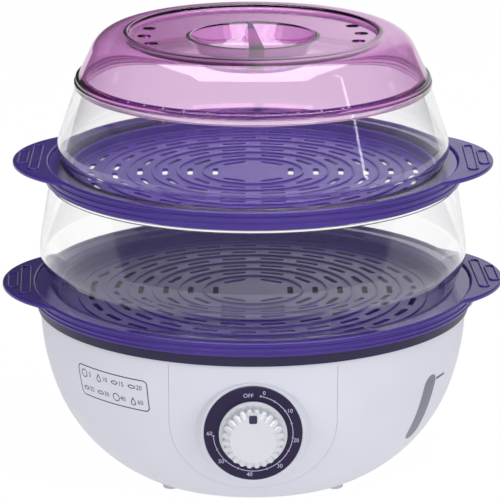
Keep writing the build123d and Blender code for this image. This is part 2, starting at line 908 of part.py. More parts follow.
with BuildPart() as heater_plate:
    with BuildSketch(Plane.XY.offset(gasket_top)):
        Circle(plate_r)
    extrude(amount=plate_thickness)
    fillet(heater_plate.faces().sort_by(Axis.Z)[-1].edges(), radius=plate_thickness / 2)
heater_plate.part.label = "heater_plate"
export_step(heater_plate.part, "parts/heater_plate.step")

with BuildPart() as heater_gasket:
    with BuildSketch(Plane.XY.offset(well_floor_z)):
        Circle(plate_r + gasket_lap / 2)
        Circle(heater_hole_r - gasket_lap, mode=Mode.SUBTRACT)
    extrude(amount=gasket_thickness)
heater_gasket.part.label = "heater_gasket"
export_step(heater_gasket.part, "parts/heater_gasket.step")

with BuildPart() as heater_casting:
    with BuildSketch(Plane.XY.offset(clamp_top)):
        Circle(casting_r)
        Circle(casting_bore_r, mode=Mode.SUBTRACT)
    extrude(amount=casting_depth)
    with BuildSketch(Plane.XY.offset(clamp_top)):
        with terminal_places():
            Circle(terminal_r + shaft_gap)
    extrude(amount=terminal_root, mode=Mode.SUBTRACT)
heater_casting.part.label = "heater_casting"
export_step(heater_casting.part, "parts/heater_casting.step")

with BuildPart() as heater_terminals:
    with BuildSketch(Plane.XY.offset(terminal_z)):
        with terminal_places():
            Circle(terminal_r)
    extrude(amount=terminal_drop + terminal_root)
heater_terminals.part.label = "heater_terminals"
export_step(heater_terminals.part, "parts/heater_terminals.step")

with BuildPart() as heater_clamp:
    with BuildSketch(Plane.XY.offset(clamp_low)):
        Circle(clamp_r)
        Circle(clamp_hole_r, mode=Mode.SUBTRACT)
        with PolarLocations(clamp_r, 3, start_angle=30):
            Circle(clamp_notch_r, mode=Mode.SUBTRACT)
        with PolarLocations(clamp_screw_circle, 3, start_angle=90):
            Circle(clamp_screw_r + shaft_gap, mode=Mode.SUBTRACT)
        with terminal_places():
            Circle(terminal_r + terminal_clearance, mode=Mode.SUBTRACT)
    extrude(amount=clamp_thickness)
heater_clamp.part.label = "heater_clamp"
export_step(heater_clamp.part, "parts/heater_clamp.step")

with BuildPart() as clamp_screws:
    with BuildSketch(Plane.XY.offset(clamp_low)):
        with PolarLocations(clamp_screw_circle, 3, start_angle=90):
            Circle(clamp_screw_head_r)
    extrude(amount=-clamp_screw_head)
    with BuildSketch(Plane.XY.offset(clamp_low)):
        with PolarLocations(clamp_screw_circle, 3, start_angle=90):
            Circle(clamp_screw_r)
    extrude(amount=clamp_screw_length - fixed_gap)
    with BuildSketch(Plane.XY.offset(clamp_low - clamp_screw_head)):
        with PolarLocations(clamp_screw_circle, 3, start_angle=90):
            Rectangle(1.4 * clamp_screw_head_r, screw_slot_width)
            Rectangle(screw_slot_width, 1.4 * clamp_screw_head_r)
    extrude(amount=clamp_screw_head / 2, mode=Mode.SUBTRACT)
clamp_screws.part.label = "clamp_screws"
export_step(clamp_screws.part, "parts/clamp_screws.step")

# Snap-disc thermostat against the plate, and a one-shot thermal fuse under the clamp
thermostat_low = gasket_top - thermostat_depth
with BuildPart() as thermostat:
    with BuildSketch(Plane.XY.offset(thermostat_low)):
        Circle(thermostat_r)
    extrude(amount=thermostat_depth)
    with BuildSketch(Plane.XY.offset(thermostat_low)):
        with Locations((-thermostat_spade_x, 0), (thermostat_spade_x, 0)):
            Rectangle(spade_thickness, spade_width)
    extrude(amount=-spade_length)
thermostat.part.label = "thermostat"
export_step(thermostat.part, "parts/thermostat.step")

fuse_z = clamp_low - fuse_r
with BuildPart() as thermal_fuse:
    with BuildSketch(Plane(origin=(-fuse_length / 2, fuse_y, fuse_z), z_dir=(1, 0, 0))):
        Circle(fuse_r)
    extrude(amount=fuse_length)
thermal_fuse.part.label = "thermal_fuse"
export_step(thermal_fuse.part, "parts/thermal_fuse.step")

# ------------------------------------------------------------------ cord gland
with BuildPart() as cord_gland:
    with BuildSketch(gland_plane.offset(gland_seat_outer_y)):
        Circle(gland_collar_r)
    extrude(amount=gland_collar_thickness)
    chamfer(
        cord_gland.faces().sort_by(Axis.Y)[-1].edges(), length=gland_collar_thickness / 3
    )
    with BuildSketch(gland_plane.offset(gland_seat_outer_y)):
        Circle(gland_body_r)
    gland_end_y = gland_seat_inner_y - gland_nut_thickness - gland_thread_end
    extrude(amount=gland_end_y - gland_seat_outer_y)
    with BuildSketch(gland_plane.offset(gland_end_y)):
        Circle(gland_bore_r)
    extrude(amount=reach, mode=Mode.SUBTRACT)
cord_gland.part.label = "cord_gland"
export_step(cord_gland.part, "parts/cord_gland.step")

with BuildPart() as gland_nut:
    with BuildSketch(gland_plane.offset(gland_seat_inner_y)):
        RegularPolygon(gland_nut_r, 6)
        Circle(gland_body_r + shaft_gap, mode=Mode.SUBTRACT)
    extrude(amount=-gland_nut_thickness)
gland_nut.part.label = "gland_nut"
export_step(gland_nut.part, "parts/gland_nut.step")

# ------------------------------------------------------------------ wiring
# Terminal block on the bottom cover: neutral, live and earth, seen from the front
block_top = ledge_z + block_height
lane = block_length / 3
with BuildPart() as terminal_block:
    with BuildSketch(Plane.XY.offset(ledge_z)):
        with Locations((0, block_y)):
            Rectangle(block_length, block_width)
    extrude(amount=block_height)
    with BuildSketch(Plane.XY.offset(block_top)):
        with Locations((0, block_y)):
            with GridLocations(lane, 1, 3, 1):
                Circle(block_screw_r)
    extrude(amount=-block_screw_depth, mode=Mode.SUBTRACT)
terminal_block.part.label = "terminal_block"
export_step(terminal_block.part, "parts/terminal_block.step")

block_front = block_y - block_width / 2
block_port_z = ledge_z + block_height / 2
timer_wire_y = timer_back.origin.Y + spade_length - spade_width / 2
timer_wire_z = dial_z - spade_drop - spade_width / 2

# Each wire meets its two terminals face to face. The points between are laid by hand.
wires = {
    "wire_live": (
        [
            (lane, block_front, block_port_z),
            (lane, 33, block_port_z),
            (26, 6, 9.5),
            (24, -40, 10),
            (spade_x, -70, 16),
            (spade_x, -85, 24),
            (spade_x, -98, 33),
            (spade_x, timer_wire_y, 46),
            (spade_x, timer_wire_y, timer_wire_z),
        ],
        [8, 20, 30, 20, 20, 16, 10],
    ),
    "wire_switched": (
        [
            (-spade_x, timer_wire_y, timer_wire_z),
            (-spade_x, timer_wire_y, 46),
            (-spade_x, -98, 33),
            (-spade_x, -85, 24),
            (-spade_x, -60, 14),
            (-2, -34, 11.5),
            (-2.5, -12, 11.5),
            (-thermostat_spade_x, 0, 12.5),
            (-thermostat_spade_x, 0, thermostat_low - spade_length),
        ],
        [10, 16, 20, 24, 20, 16, 3.5],
    ),
    "wire_fuse": (
        [
            (thermostat_spade_x, 0, thermostat_low - spade_length),
            (thermostat_spade_x, 0, 13),
            (14, 12, 13),
            (17, 28, 16),
            (17, fuse_y, fuse_z),
            (fuse_length / 2, fuse_y, fuse_z),
        ],
        [3.5, 6, 6, 3.5],
    ),
    "wire_heater": (
        [
            (-fuse_length / 2, fuse_y, fuse_z),
            (-17, fuse_y, fuse_z),
            (-19, 22, 14),
            (-19, 0, 7.5),
            (-terminal_x, terminal_y, 7.5),
            (-terminal_x, terminal_y, terminal_z),
        ],
        [3.5, 8, 8, 3.2],
    ),
    "wire_neutral": (
        [
            (0, block_front, block_port_z),
            (0, 34, block_port_z),
            (4, 20, 8),
            (terminal_x, 0, 7.5),
            (terminal_x, terminal_y, 7.5),
            (terminal_x, terminal_y, terminal_z),
        ],
        [6, 14, 10, 3.2],
    ),
    "wire_earth": (
        [
            (-lane, block_front, block_port_z),
            (-lane, 37, block_port_z),
            (-16, 32, 11.5),
            (-26, 27, 15),
            (-26, 27, clamp_low),
        ],
        [3.5, 8, 4],
    ),
}
for name, (points, radii) in wires.items():
    inner_wire = wire(points, radii)
    inner_wire.label = name
    export_step(inner_wire, f"parts/{name}.step")

# ------------------------------------------------------------------ steam ring
# Open cone that stands on the well's floor round the heater and gathers its steam.
with BuildPart() as steam_ring:
    revolve(
        outline(
            (steam_ring_r - steam_ring_wall, well_floor_z),
            (steam_ring_r, well_floor_z),
            (steam_ring_top_r, well_floor_z + steam_ring_height),
            (steam_ring_top_r - steam_ring_wall, well_floor_z + steam_ring_height),
        ),
        axis=Axis.Z,
    )
    for turn in range(steam_port_count):
        port_angle = (turn + 0.5) * 360 / steam_port_count
        with BuildSketch(Plane.YZ.rotated((0, 0, port_angle))):
            with Locations((0, well_floor_z)):
                Rectangle(steam_port_width, 2 * steam_port_height)
        extrude(amount=steam_ring_r, mode=Mode.SUBTRACT)
steam_ring.part.label = "steam_ring"
export_step(steam_ring.part, "parts/steam_ring.step")

# ------------------------------------------------------------------ drip tray
# Its rim stands on the basin's flange. The dish hangs inside the neck, with a chimney for
# the steam and a walled bay that goes round the filler spout.
dish_r = neck_r - nest_gap - drip_wall
drip_web_top = bowl_rim_z + drip_wall
dish_floor_z = bowl_rim_z - dish_depth
dish_underside = dish_floor_z - drip_wall
bay_x = spout_inner_x - spout_bay_gap
bay_half_width = spout_half_width + lift_gap

with BuildPart() as drip_tray:
    revolve(
        outline(
            (chimney_r, dish_underside),
            (dish_r + drip_wall, dish_underside),
            (dish_r + drip_wall, bowl_rim_z),
            (drip_rim_r, bowl_rim_z),
            (drip_rim_r, drip_top),
            (drip_rim_r - drip_rim_wall, drip_top),
            (drip_rim_r - drip_rim_wall, drip_web_top),
            (dish_r, drip_web_top),
            (dish_r, dish_floor_z),
            (chimney_r + drip_wall, dish_floor_z),
            (chimney_r + drip_wall, dish_floor_z + chimney_height),
            (chimney_r, dish_floor_z + chimney_height),
        ),
        axis=Axis.Z,
    )
    with BuildSketch(Plane.XY.offset(dish_underside)):
        with Locations(((bay_x - drip_wall + dish_r) / 2, 0)):
            Rectangle(dish_r - bay_x + drip_wall, 2 * (bay_half_width + drip_wall))
    extrude(amount=drip_web_top - dish_underside)
    with BuildSketch(Plane.XY.offset(dish_underside)):
        with Locations(((bay_x + drip_rim_r) / 2, 0)):
            Rectangle(drip_rim_r - bay_x, 2 * bay_half_width)
    extrude(amount=bowl_rim_z - dish_underside, mode=Mode.SUBTRACT)
    with BuildSketch(Plane.XY.offset(dish_underside)):
        with Locations((mouth_x - lift_gap + bay_half_width, 0)):
            Rectangle(2 * bay_half_width, 2 * bay_half_width)
    extrude(amount=spout_lip_z + lift_gap - dish_underside, mode=Mode.SUBTRACT)
drip_tray.part.label = "drip_tray"
export_step(drip_tray.part, "parts/drip_tray.step")

# ------------------------------------------------------------------ steaming trays
# Each tray is a channel for the ring above, a sunk slotted floor, a skirt that nests over
# what is below, and two ears to lift it by.
lower_well_r = lower_foot_r - tray_ledge
upper_well_r = upper_foot_r - tray_ledge

trays = {
    "lower_tray": (lower_channel_z, lower_rim_r, lower_skirt, lower_well_r, lower_tip_x, lower_turn),
    "upper_tray": (upper_channel_z, upper_rim_r, upper_skirt, upper_well_r, upper_tip_x, upper_turn),
}
for name, (channel_z, rim_r, skirt, tray_well_r, tip_x, turn) in trays.items():
    web_low = channel_z - tray_wall
    rim_top = web_low + rim_rise
    ear_low = rim_top - ear_thickness
    tray_floor_z = channel_z - tray_well_depth
    tray_underside = tray_floor_z - tray_wall
    turned_xy = Plane.XY.rotated((0, 0, turn))
    with BuildPart() as ear_plate:
        with BuildSketch(turned_xy.offset(ear_low)) as ear_sketch:
            Circle(rim_r)
            with Locations((ear_r - tip_x, 0), (tip_x - ear_r, 0)):
                Circle(ear_r)
            fillet(ear_sketch.vertices(), radius=ear_root_r)
        extrude(amount=ear_thickness)
        fillet(ear_plate.faces().filter_by(Axis.Z).edges(), radius=ear_edge_r)
        with BuildSketch(Plane.XY.offset(ear_low)):
            Circle(rim_r - rim_wall)
        extrude(amount=ear_thickness, mode=Mode.SUBTRACT)
        fillet(
            ear_plate.faces().sort_by(Axis.Z)[-1].inner_wires().edges(), radius=ear_edge_r
        )
    with BuildPart() as tray:
        revolve(
            outline(
                (0, tray_underside),
                (tray_well_r + tray_wall, tray_underside),
                (tray_well_r + tray_wall, web_low),
                (rim_r - rim_wall, web_low),
                (rim_r - rim_wall, web_low - skirt),
                (rim_r, web_low - skirt),
                (rim_r, ear_low + ear_thickness / 2),
                (rim_r - rim_wall, ear_low + ear_thickness / 2),
                (rim_r - rim_wall, channel_z),
                (tray_well_r, channel_z),
                (tray_well_r, tray_floor_z),
                (0, tray_floor_z),
            ),
            axis=Axis.Z,
        )
        add(ear_plate.part)
        # raised racetrack outlines on the ears
        with BuildSketch(turned_xy.offset(rim_top)):
            for side in (-1, 1):
                for inset, length in (
                    (grip_rib_inset, grip_rib_length),
                    (tip_rib_inset, tip_rib_length),
                ):
                    with Locations((side * (tip_x - inset), 0)):
                        SlotOverall(length, grip_rib_width, rotation=90)
                        SlotOverall(
                            length - 2 * grip_rib_wall,
                            grip_rib_width - 2 * grip_rib_wall,
                            rotation=90,
                            mode=Mode.SUBTRACT,
                        )
        extrude(amount=grip_rib_height)
        # rows of steam slots, with a round rib between each row and the next
        row_r = first_slot_row
        while row_r + slot_width + slot_margin < tray_well_r:
            with BuildSketch(Plane.XY.offset(tray_underside)):
                with PolarLocations(row_r, int(2 * pi * row_r / slot_spacing)):
                    SlotOverall(slot_length, slot_width, rotation=90)
            extrude(amount=tray_wall, mode=Mode.SUBTRACT)
            rib_r = row_r + slot_row_pitch / 2
            if rib_r + rib_width < tray_well_r:
                with BuildSketch(Plane.XY.offset(tray_floor_z)):
                    Circle(rib_r + rib_width / 2)
                    Circle(rib_r - rib_width / 2, mode=Mode.SUBTRACT)
                extrude(amount=rib_height)
            row_r += slot_row_pitch
    tray.part.label = name
    export_step(tray.part, f"parts/{name}.step")

# ------------------------------------------------------------------ clear rings


def ring_section(foot_r, foot_z, swell_r, swell_z, below, above, top_r, top_z):
    """Section of a ring's wall: two arcs at the swell, each run straight to an end."""
    with BuildSketch(Plane.XZ) as section:
        with BuildLine():
            ends = []
            for bow, end_r, end_z, side in (
                (below, foot_r, foot_z, 1),
                (above, top_r, top_z, -1),
            ):
                center_r = swell_r - bow
                bearing = atan2(end_z - swell_z, end_r - center_r)
                span = acos(bow / hypot(end_r - center_r, end_z - swell_z))
                tangent = bearing + side * span
                for depth in (0, ring_wall):
                    arc = [
                        (
                            center_r + (bow - depth) * cos(angle),
                            swell_z + (bow - depth) * sin(angle),
                        )
                        for angle in (0, tangent / 2, tangent)
                    ]
                    end = (end_r - depth / cos(tangent), end_z)
                    ThreePointArc(*arc)
                    Line(arc[-1], end)
                    ends.append(end)
            Line(ends[0], ends[1])
            Line(ends[2], ends[3])
        make_face()
    return section.sketch


with BuildPart() as lower_ring:
    revolve(
        ring_section(
            lower_foot_r,
            lower_channel_z,
            lower_swell_r,
            lower_channel_z + lower_swell_rise,
            lower_swell_below,
            lower_swell_above,
            lower_top_r,
            lower_ring_top,
        ),
        axis=Axis.Z,
    )
    with BuildSketch(Plane.XY.offset(lower_channel_z)):
        Circle(lower_flange_r)
        Circle(lower_foot_r - ring_wall / 2, mode=Mode.SUBTRACT)
    extrude(amount=ring_wall)
    with BuildSketch(Plane.XY.offset(lower_ring_top - lower_bead_drop - lower_bead_height)):
        Circle(lower_top_r + lower_bead)
        Circle(lower_top_r - ring_wall / 2, mode=Mode.SUBTRACT)
    extrude(amount=lower_bead_height)
lower_ring.part.label = "lower_ring"
export_step(lower_ring.part, "parts/lower_ring.step")

with BuildPart() as upper_ring:
    revolve(
        ring_section(
            upper_foot_r,
            upper_channel_z,
            upper_swell_r,
            upper_channel_z + upper_swell_rise,
            upper_swell_below,
            upper_swell_above,
            upper_top_r,
            upper_ring_top,
        ),
        axis=Axis.Z,
    )
    with BuildSketch(Plane.XY.offset(upper_channel_z)):
        Circle(upper_flange_r)
        Circle(upper_foot_r - ring_wall / 2, mode=Mode.SUBTRACT)
    extrude(amount=ring_wall)
    with BuildSketch(Plane.XY.offset(upper_ring_top)):
        Circle(upper_top_r + upper_bead)
        Circle(upper_top_r - ring_wall / 2, mode=Mode.SUBTRACT)
    extrude(amount=-upper_bead_height)
upper_ring.part.label = "upper_ring"
export_step(upper_ring.part, "parts/upper_ring.step")

# ------------------------------------------------------------------ lid
lid_flange_top = upper_ring_top + lid_flange_height
lid_foot_r = lid_flange_r - lid_step
recess_z = lid_top - recess_depth
pocket_z = recess_z - pocket_depth
lean = radians(lid_lean)
bow_center_z = lid_top - lid_bow
side_top_z = bow_center_z + lid_bow * sin(lean)
bow_center_r = lid_foot_r - (side_top_z - lid_flange_top) * tan(lean) - lid_bow * cos(lean)
spigot_r = upper_top_r - ring_wall - lid_spigot_gap
turned_top = Plane.XY.rotated((0, 0, lid_turn))


def shoulder_arc(depth):
    """Rolled shoulder from the leaning side up to the crest, at a depth under its face."""
    radius = lid_bow - depth
    places = []
    for angle in (lean, (lean + pi / 2) / 2, pi / 2):
        places.append((bow_center_r + radius * cos(angle), bow_center_z + radius * sin(angle)))
    return places


with BuildPart() as grip_web:
    with BuildSketch(turned_top.offset(pocket_z)):
        with BuildLine():
            Polyline(
                (-web_front_width / 2, -pocket_r),
                (web_front_width / 2, -pocket_r),
                (web_back_width / 2, pocket_r),
                (-web_back_width / 2, pocket_r),
                close=True,
            )
        make_face()
    extrude(amount=pocket_depth)
    revolve(
        outline(
            (0, pocket_z),
            (pocket_floor_r + lid_wall / 2, pocket_z),
            (pocket_r + lid_wall / 2, recess_z),
            (0, recess_z),
        ),
        axis=Axis.Z,
        mode=Mode.INTERSECT,
    )

outer_shoulder = shoulder_arc(0)
inner_shoulder = shoulder_arc(lid_wall)
with BuildPart() as lid:
    with BuildSketch(Plane.XZ) as lid_section:
        with BuildLine():
            ThreePointArc(*outer_shoulder)
            Polyline(
                outer_shoulder[-1],
                (recess_r, lid_top),
                (recess_r, recess_z),
                (pocket_r, recess_z),
                (pocket_floor_r, pocket_z),
                (0, pocket_z),
                (0, pocket_z - lid_wall),
                (pocket_floor_r, pocket_z - lid_wall),
                (pocket_r + lid_wall, recess_z - lid_wall),
                (recess_r + lid_wall, recess_z - lid_wall),
                (recess_r + lid_wall, lid_top - lid_wall),
                inner_shoulder[-1],
            )
            ThreePointArc(*inner_shoulder)
            Polyline(
                inner_shoulder[0],
                (lid_foot_r - lid_wall / cos(lean), lid_flange_top),
                (spigot_r - lid_spigot_wall, lid_flange_top),
                (spigot_r - lid_spigot_wall, upper_ring_top),
                (lid_flange_r, upper_ring_top),
                (lid_flange_r, lid_flange_top),
                (lid_foot_r, lid_flange_top),
                outer_shoulder[0],
            )
        make_face()
    revolve(axis=Axis.Z)
    add(grip_web.part)
    # spigot that drops inside the ring
    with BuildSketch(Plane.XY.offset(upper_ring_top - lid_spigot_drop)):
        Circle(spigot_r)
        Circle(spigot_r - lid_spigot_wall, mode=Mode.SUBTRACT)
    extrude(amount=lid_spigot_drop + lid_flange_height / 2)
    # steam holes
    with BuildSketch(turned_top.offset(recess_z)):
        for side in (0, 180):
            with PolarLocations(
                vent_circle,
                vent_count,
                start_angle=side - vent_spacing * (vent_count - 1) / 2,
                angular_range=vent_spacing * vent_count,
            ):
                Circle(vent_r)
    extrude(amount=-lid_wall, mode=Mode.SUBTRACT)
lid.part.label = "lid"
export_step(lid.part, "parts/lid.step")
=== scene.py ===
from math import acos, atan2, cos, hypot, pi, radians, sin, sqrt, tan, tau

import bmesh
import bpy
from mathutils import Matrix, Vector


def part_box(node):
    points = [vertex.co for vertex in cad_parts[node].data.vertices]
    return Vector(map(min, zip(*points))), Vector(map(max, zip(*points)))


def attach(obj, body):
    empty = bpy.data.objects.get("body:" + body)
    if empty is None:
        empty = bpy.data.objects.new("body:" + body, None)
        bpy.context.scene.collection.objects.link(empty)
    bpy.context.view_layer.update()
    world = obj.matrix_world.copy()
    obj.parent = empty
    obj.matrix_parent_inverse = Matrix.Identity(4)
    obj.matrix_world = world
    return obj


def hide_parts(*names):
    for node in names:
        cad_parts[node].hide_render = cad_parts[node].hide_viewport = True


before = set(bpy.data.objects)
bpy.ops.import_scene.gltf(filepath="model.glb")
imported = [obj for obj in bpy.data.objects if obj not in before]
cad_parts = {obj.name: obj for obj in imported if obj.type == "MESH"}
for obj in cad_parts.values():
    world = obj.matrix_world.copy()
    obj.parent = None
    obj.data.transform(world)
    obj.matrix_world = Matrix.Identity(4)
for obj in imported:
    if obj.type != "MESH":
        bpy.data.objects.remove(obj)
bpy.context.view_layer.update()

# ---------------------------------------------------------------- camera
# A long lens in front of the dial, a little above the lid, looks down at the stack. The
# object's axis lies just right of the middle of the picture.
MM = 0.001
camera_place = Vector((-1.9, -1987.0, 714.8)) * MM
camera_pitch = radians(16.08)
picture_pixels = 500
focal_pixels = 3224
sensor_width = 36.0
glass_bounces = 24


def placed(name, data):
    """New object in the scene."""
    piece = bpy.data.objects.new(name, data)
    bpy.context.scene.collection.objects.link(piece)
    return piece


camera_data = bpy.data.cameras.new("camera")
camera_data.sensor_width = sensor_width
camera_data.lens = focal_pixels / picture_pixels * sensor_width
camera = placed("camera", camera_data)
camera.location = camera_place
camera.rotation_euler = (pi / 2 - camera_pitch, 0, 0)
bpy.context.scene.camera = camera
bpy.context.scene.view_settings.view_transform = "Standard"
bpy.context.scene.cycles.max_bounces = glass_bounces
bpy.context.scene.cycles.transmission_bounces = glass_bounces


# ---------------------------------------------------------------- bottom cover and feet
# The underside is a flat moulded plate held by four countersunk screws, and the shell's rim
# stands on four soft rubber feet that are pushed into sockets.
class Signal:
    """One output of a node. Sums, differences and products of signals add Math nodes."""

    def __init__(self, finish, socket):
        self.finish = finish
        self.socket = socket

    def maths(self, operation, first, second):
        return self.finish.node("ShaderNodeMath", {"operation": operation}, [first, second])

    def __add__(self, other):
        return self.maths("ADD", self, other)

    def __radd__(self, other):
        return self.maths("ADD", other, self)

    def __sub__(self, other):
        return self.maths("SUBTRACT", self, other)

    def __rsub__(self, other):
        return self.maths("SUBTRACT", other, self)

    def __mul__(self, other):
        return self.maths("MULTIPLY", self, other)

    def __rmul__(self, other):
        return self.maths("MULTIPLY", other, self)


class Finish:
    """The nodes of one material, or of the world, and the way they are added."""

    def __init__(self, owner):
        self.owner = owner
        owner.use_nodes = True
        self.tree = owner.node_tree
        self.tree.nodes.clear()

    def node(self, kind, settings=None, inputs=(), output=0):
        """Adds a node, sets its settings, then its inputs: a list by place, or a dict by name."""
        node = self.tree.nodes.new(kind)
        for name, value in (settings or {}).items():
            setattr(node, name, value)
        pairs = inputs.items() if isinstance(inputs, dict) else enumerate(inputs)
        for name, value in pairs:
            if isinstance(value, Signal):
                self.tree.links.new(value.socket, node.inputs[name])
            elif value is not None:
                node.inputs[name].default_value = value
        return Signal(self, node.outputs[output])

    def noise(self, grain, detail=2.0, scale=(1, 1, 1)):
        """Soft noise from 0 to 1 in the piece's own space, which a scale may stretch. Its lumps
        are about one grain across, in millimetres."""
        place = self.node("ShaderNodeTexCoord", output="Object")
        place = self.node("ShaderNodeMapping", {}, {"Vector": place, "Scale": scale})
        return self.node(
            "ShaderNodeTexNoise",
            {},
            {"Vector": place, "Scale": 1 / (grain * MM), "Detail": detail},
        )

    def blend(self, share, first, second):
        """One colour where the share is 0, the other where it is 1."""
        return self.node(
            "ShaderNodeMix", {"data_type": "RGBA"}, {0: share, 6: first, 7: second}, 2
        )

    def relief(self, height, depth):
        """Bump of a depth in millimetres where the height signal goes from 0 to 1."""
        return self.node("ShaderNodeBump", {}, {"Distance": depth * MM, "Height": height})

    def output(self, surface, kind="ShaderNodeOutputMaterial", volume=None):
        """Ends the tree and returns the material or the world."""
        node = self.tree.nodes.new(kind)
        self.tree.links.new(surface.socket, node.inputs["Surface"])
        if volume:
            self.tree.links.new(volume.socket, node.inputs["Volume"])
        return self.owner


def color(red, green, blue):
    """Linear colour of a surface from its 0 to 255 screen values."""
    linear = []
    for value in (red, green, blue):
        share = value / 255
        linear.append(share / 12.92 if share <= 0.04045 else ((share + 0.055) / 1.055) ** 2.4)
    return (*linear, 1.0)


def moulded_plastic(name, light, dark, rough, grain=0.35, relief=0.004, **sockets):
    """Injection-moulded plastic: a fine spark-eroded grain, and slow changes in its gloss."""
    finish = Finish(bpy.data.materials.new(name))
    slow = finish.noise(28.0)
    fine = finish.noise(grain, 4.0)
    shader = {
        "Base Color": finish.blend(slow, light, dark),
        "Roughness": rough + 0.10 * slow + 0.06 * fine,
        "Normal": finish.relief(fine, relief),
    }
    for socket, value in sockets.items():
        shader[socket.replace("_", " ").title().replace("Ior", "IOR")] = value
    return finish.output(finish.node("ShaderNodeBsdfPrincipled", {}, shader))


def dress(material, *nodes):
    """Gives nodes of the frame a finish."""
    for node in nodes:
        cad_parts[node].material_slots[0].material = material


white_plastic = moulded_plastic("white_plastic", color(216, 217, 227), color(211, 212, 223), 0.3)
dress(white_plastic, "bottom_cover")
dress(
    moulded_plastic("foot_rubber", color(196, 196, 202), color(184, 184, 190), 0.6, 0.6, 0.02),
    "feet",
)


def worked_metal(name, light, dark, rough, grain, stretch, relief):
    """Bare metal: a directional or pebbled grain in its gloss and relief."""
    finish = Finish(bpy.data.materials.new(name))
    lines = finish.noise(grain, 3.0, stretch)
    stain = finish.noise(14.0, 3.0)
    shader = {
        "Base Color": finish.blend(stain, light, dark),
        "Metallic": 1.0,
        "Roughness": rough + 0.18 * lines + 0.08 * stain,
        "Normal": finish.relief(lines, relief),
    }
    return finish.output(finish.node("ShaderNodeBsdfPrincipled", {}, shader))


screw_steel = worked_metal(
    "screw_steel", color(196, 197, 200), color(170, 171, 176), 0.24, 0.3, (1, 1, 1), 0.003
)
dress(screw_steel, "cover_screws", "clamp_screws", "timer_screws")

# ---------------------------------------------------------------- heater
# A spun stainless plate over a cast aluminium heater, sealed to the basin by a silicone ring
# and pulled down by a pressed clamp. A thermostat and a thermal fuse touch the casting.
brushed = (1, 12, 1)
steel = worked_metal(
    "steel", color(205, 206, 208), color(182, 183, 187), 0.22, 1.6, brushed, 0.004
)
cast_aluminium = worked_metal(
    "cast_aluminium", color(186, 187, 190), color(160, 161, 165), 0.46, 0.7, (1, 1, 1), 0.05
)
brass = worked_metal(
    "terminal_brass", color(214, 178, 102), color(190, 152, 82), 0.26, 0.5, (1, 1, 6), 0.004
)
fuse_metal = worked_metal(
    "fuse_metal", color(206, 200, 180), color(184, 176, 152), 0.3, 0.5, (1, 1, 1), 0.003
)
silicone = moulded_plastic(
    "silicone", color(206, 205, 200), color(194, 192, 186), 0.5, 0.8, 0.01
)
dress(steel, "heater_plate", "heater_clamp", "timer_shaft", "timer_bell")
dress(cast_aluminium, "heater_casting", "thermostat")
dress(brass, "heater_terminals", "timer_terminals")
dress(fuse_metal, "thermal_fuse")
dress(silicone, "heater_gasket", "sight_hose")

# ---------------------------------------------------------------- cord gland and wiring
# The mains flex comes in through a nylon gland at the back, to a three-way block on the cover.
# Silicone-sleeved wires run on to the timer and the heater.
dress(
    moulded_plastic("gland_plastic", color(212, 213, 224), color(204, 205, 216), 0.36),
    "cord_gland",
    "gland_nut",
)
dress(
    moulded_plastic("block_plastic", color(226, 225, 214), color(216, 214, 200), 0.42),
    "terminal_block",
)
wire_colors = {
    "wire_brown": ((112, 66, 40), ("wire_live", "wire_switched")),
    "wire_red": ((178, 40, 36), ("wire_fuse", "wire_heater")),
    "wire_blue": ((46, 92, 176), ("wire_neutral",)),
    "wire_green": ((70, 142, 62), ("wire_earth",)),
}
for slot, (sleeve, wires) in wire_colors.items():
    worn = [0.88 * value for value in sleeve]
    dress(moulded_plastic(slot, color(*sleeve), color(*worn), 0.4, 0.5, 0.006), *wires)

# ---------------------------------------------------------------- bowl
# The outer shell, the U-shaped control panel let into it and the basin that caps it are one
# white satin plastic. The water window and the filler spout are frosted grey.
dress(white_plastic, "base_shell", "control_panel", "water_basin")


def frosted_plastic(name, light, dark, rough, opening):
    """Translucent plastic with a matt back: part of the light goes through, spread out."""
    finish = Finish(bpy.data.materials.new(name))
    slow = finish.noise(9.0)
    fine = finish.noise(0.3, 3.0)
    shader = {
        "Base Color": finish.blend(slow, light, dark),
        "Roughness": rough + 0.1 * slow + 0.05 * fine,
        "Transmission Weight": opening,
        "IOR": 1.49,
        "Normal": finish.relief(fine, 0.003),
    }
    return finish.output(finish.node("ShaderNodeBsdfPrincipled", {}, shader))


dress(
    frosted_plastic("window_plastic", color(122, 122, 137), color(112, 112, 128), 0.3, 0.1),
    "level_window",
)
dress(
    frosted_plastic("spout_plastic", color(214, 214, 222), color(204, 204, 214), 0.26, 0.3),
    "filler_spout",
)

# ---------------------------------------------------------------- prints on the bowl
# A cooking-time chart in dark purple ink and a grey level tick are pad-printed on the bowl's
# curved side. The chart is a rounded frame round two rows of plain shapes and minutes.
bowl_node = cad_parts["base_shell"]
ink_lift = 0.05
chart_bearing = (-53.2, -28.7)
chart_heights = (72.0, 92.6)
chart_corner = 3.0
chart_line = 0.7
symbol_line = 0.6
symbol_size = 2.5
symbol_steps = 24
drop_width = 0.5
leaf_width = 0.45
bar_width = 0.4
minutes_size = 4.4
chart_marks = ("ring", "drop", "leaf", "bar", "leaf", "bar", "ring", "drop")
chart_minutes = ("5", "10", "15", "20", "25", "30", "40", "60")
chart_columns = 4
chart_side_margin = 0.125  # of a column, on each side
chart_row_share = 0.96  # of the even split, between the rows
symbol_offset = -3.0
minutes_offset = 2.4
ray_start = 0.3  # metres from the axis
tick_bearing = (55.6, 64.6)
tick_height = 77.9
tick_line = 0.5
tick_bar = 1.7
tick_split_share = -0.2  # of the half length, where the line turns into the bar


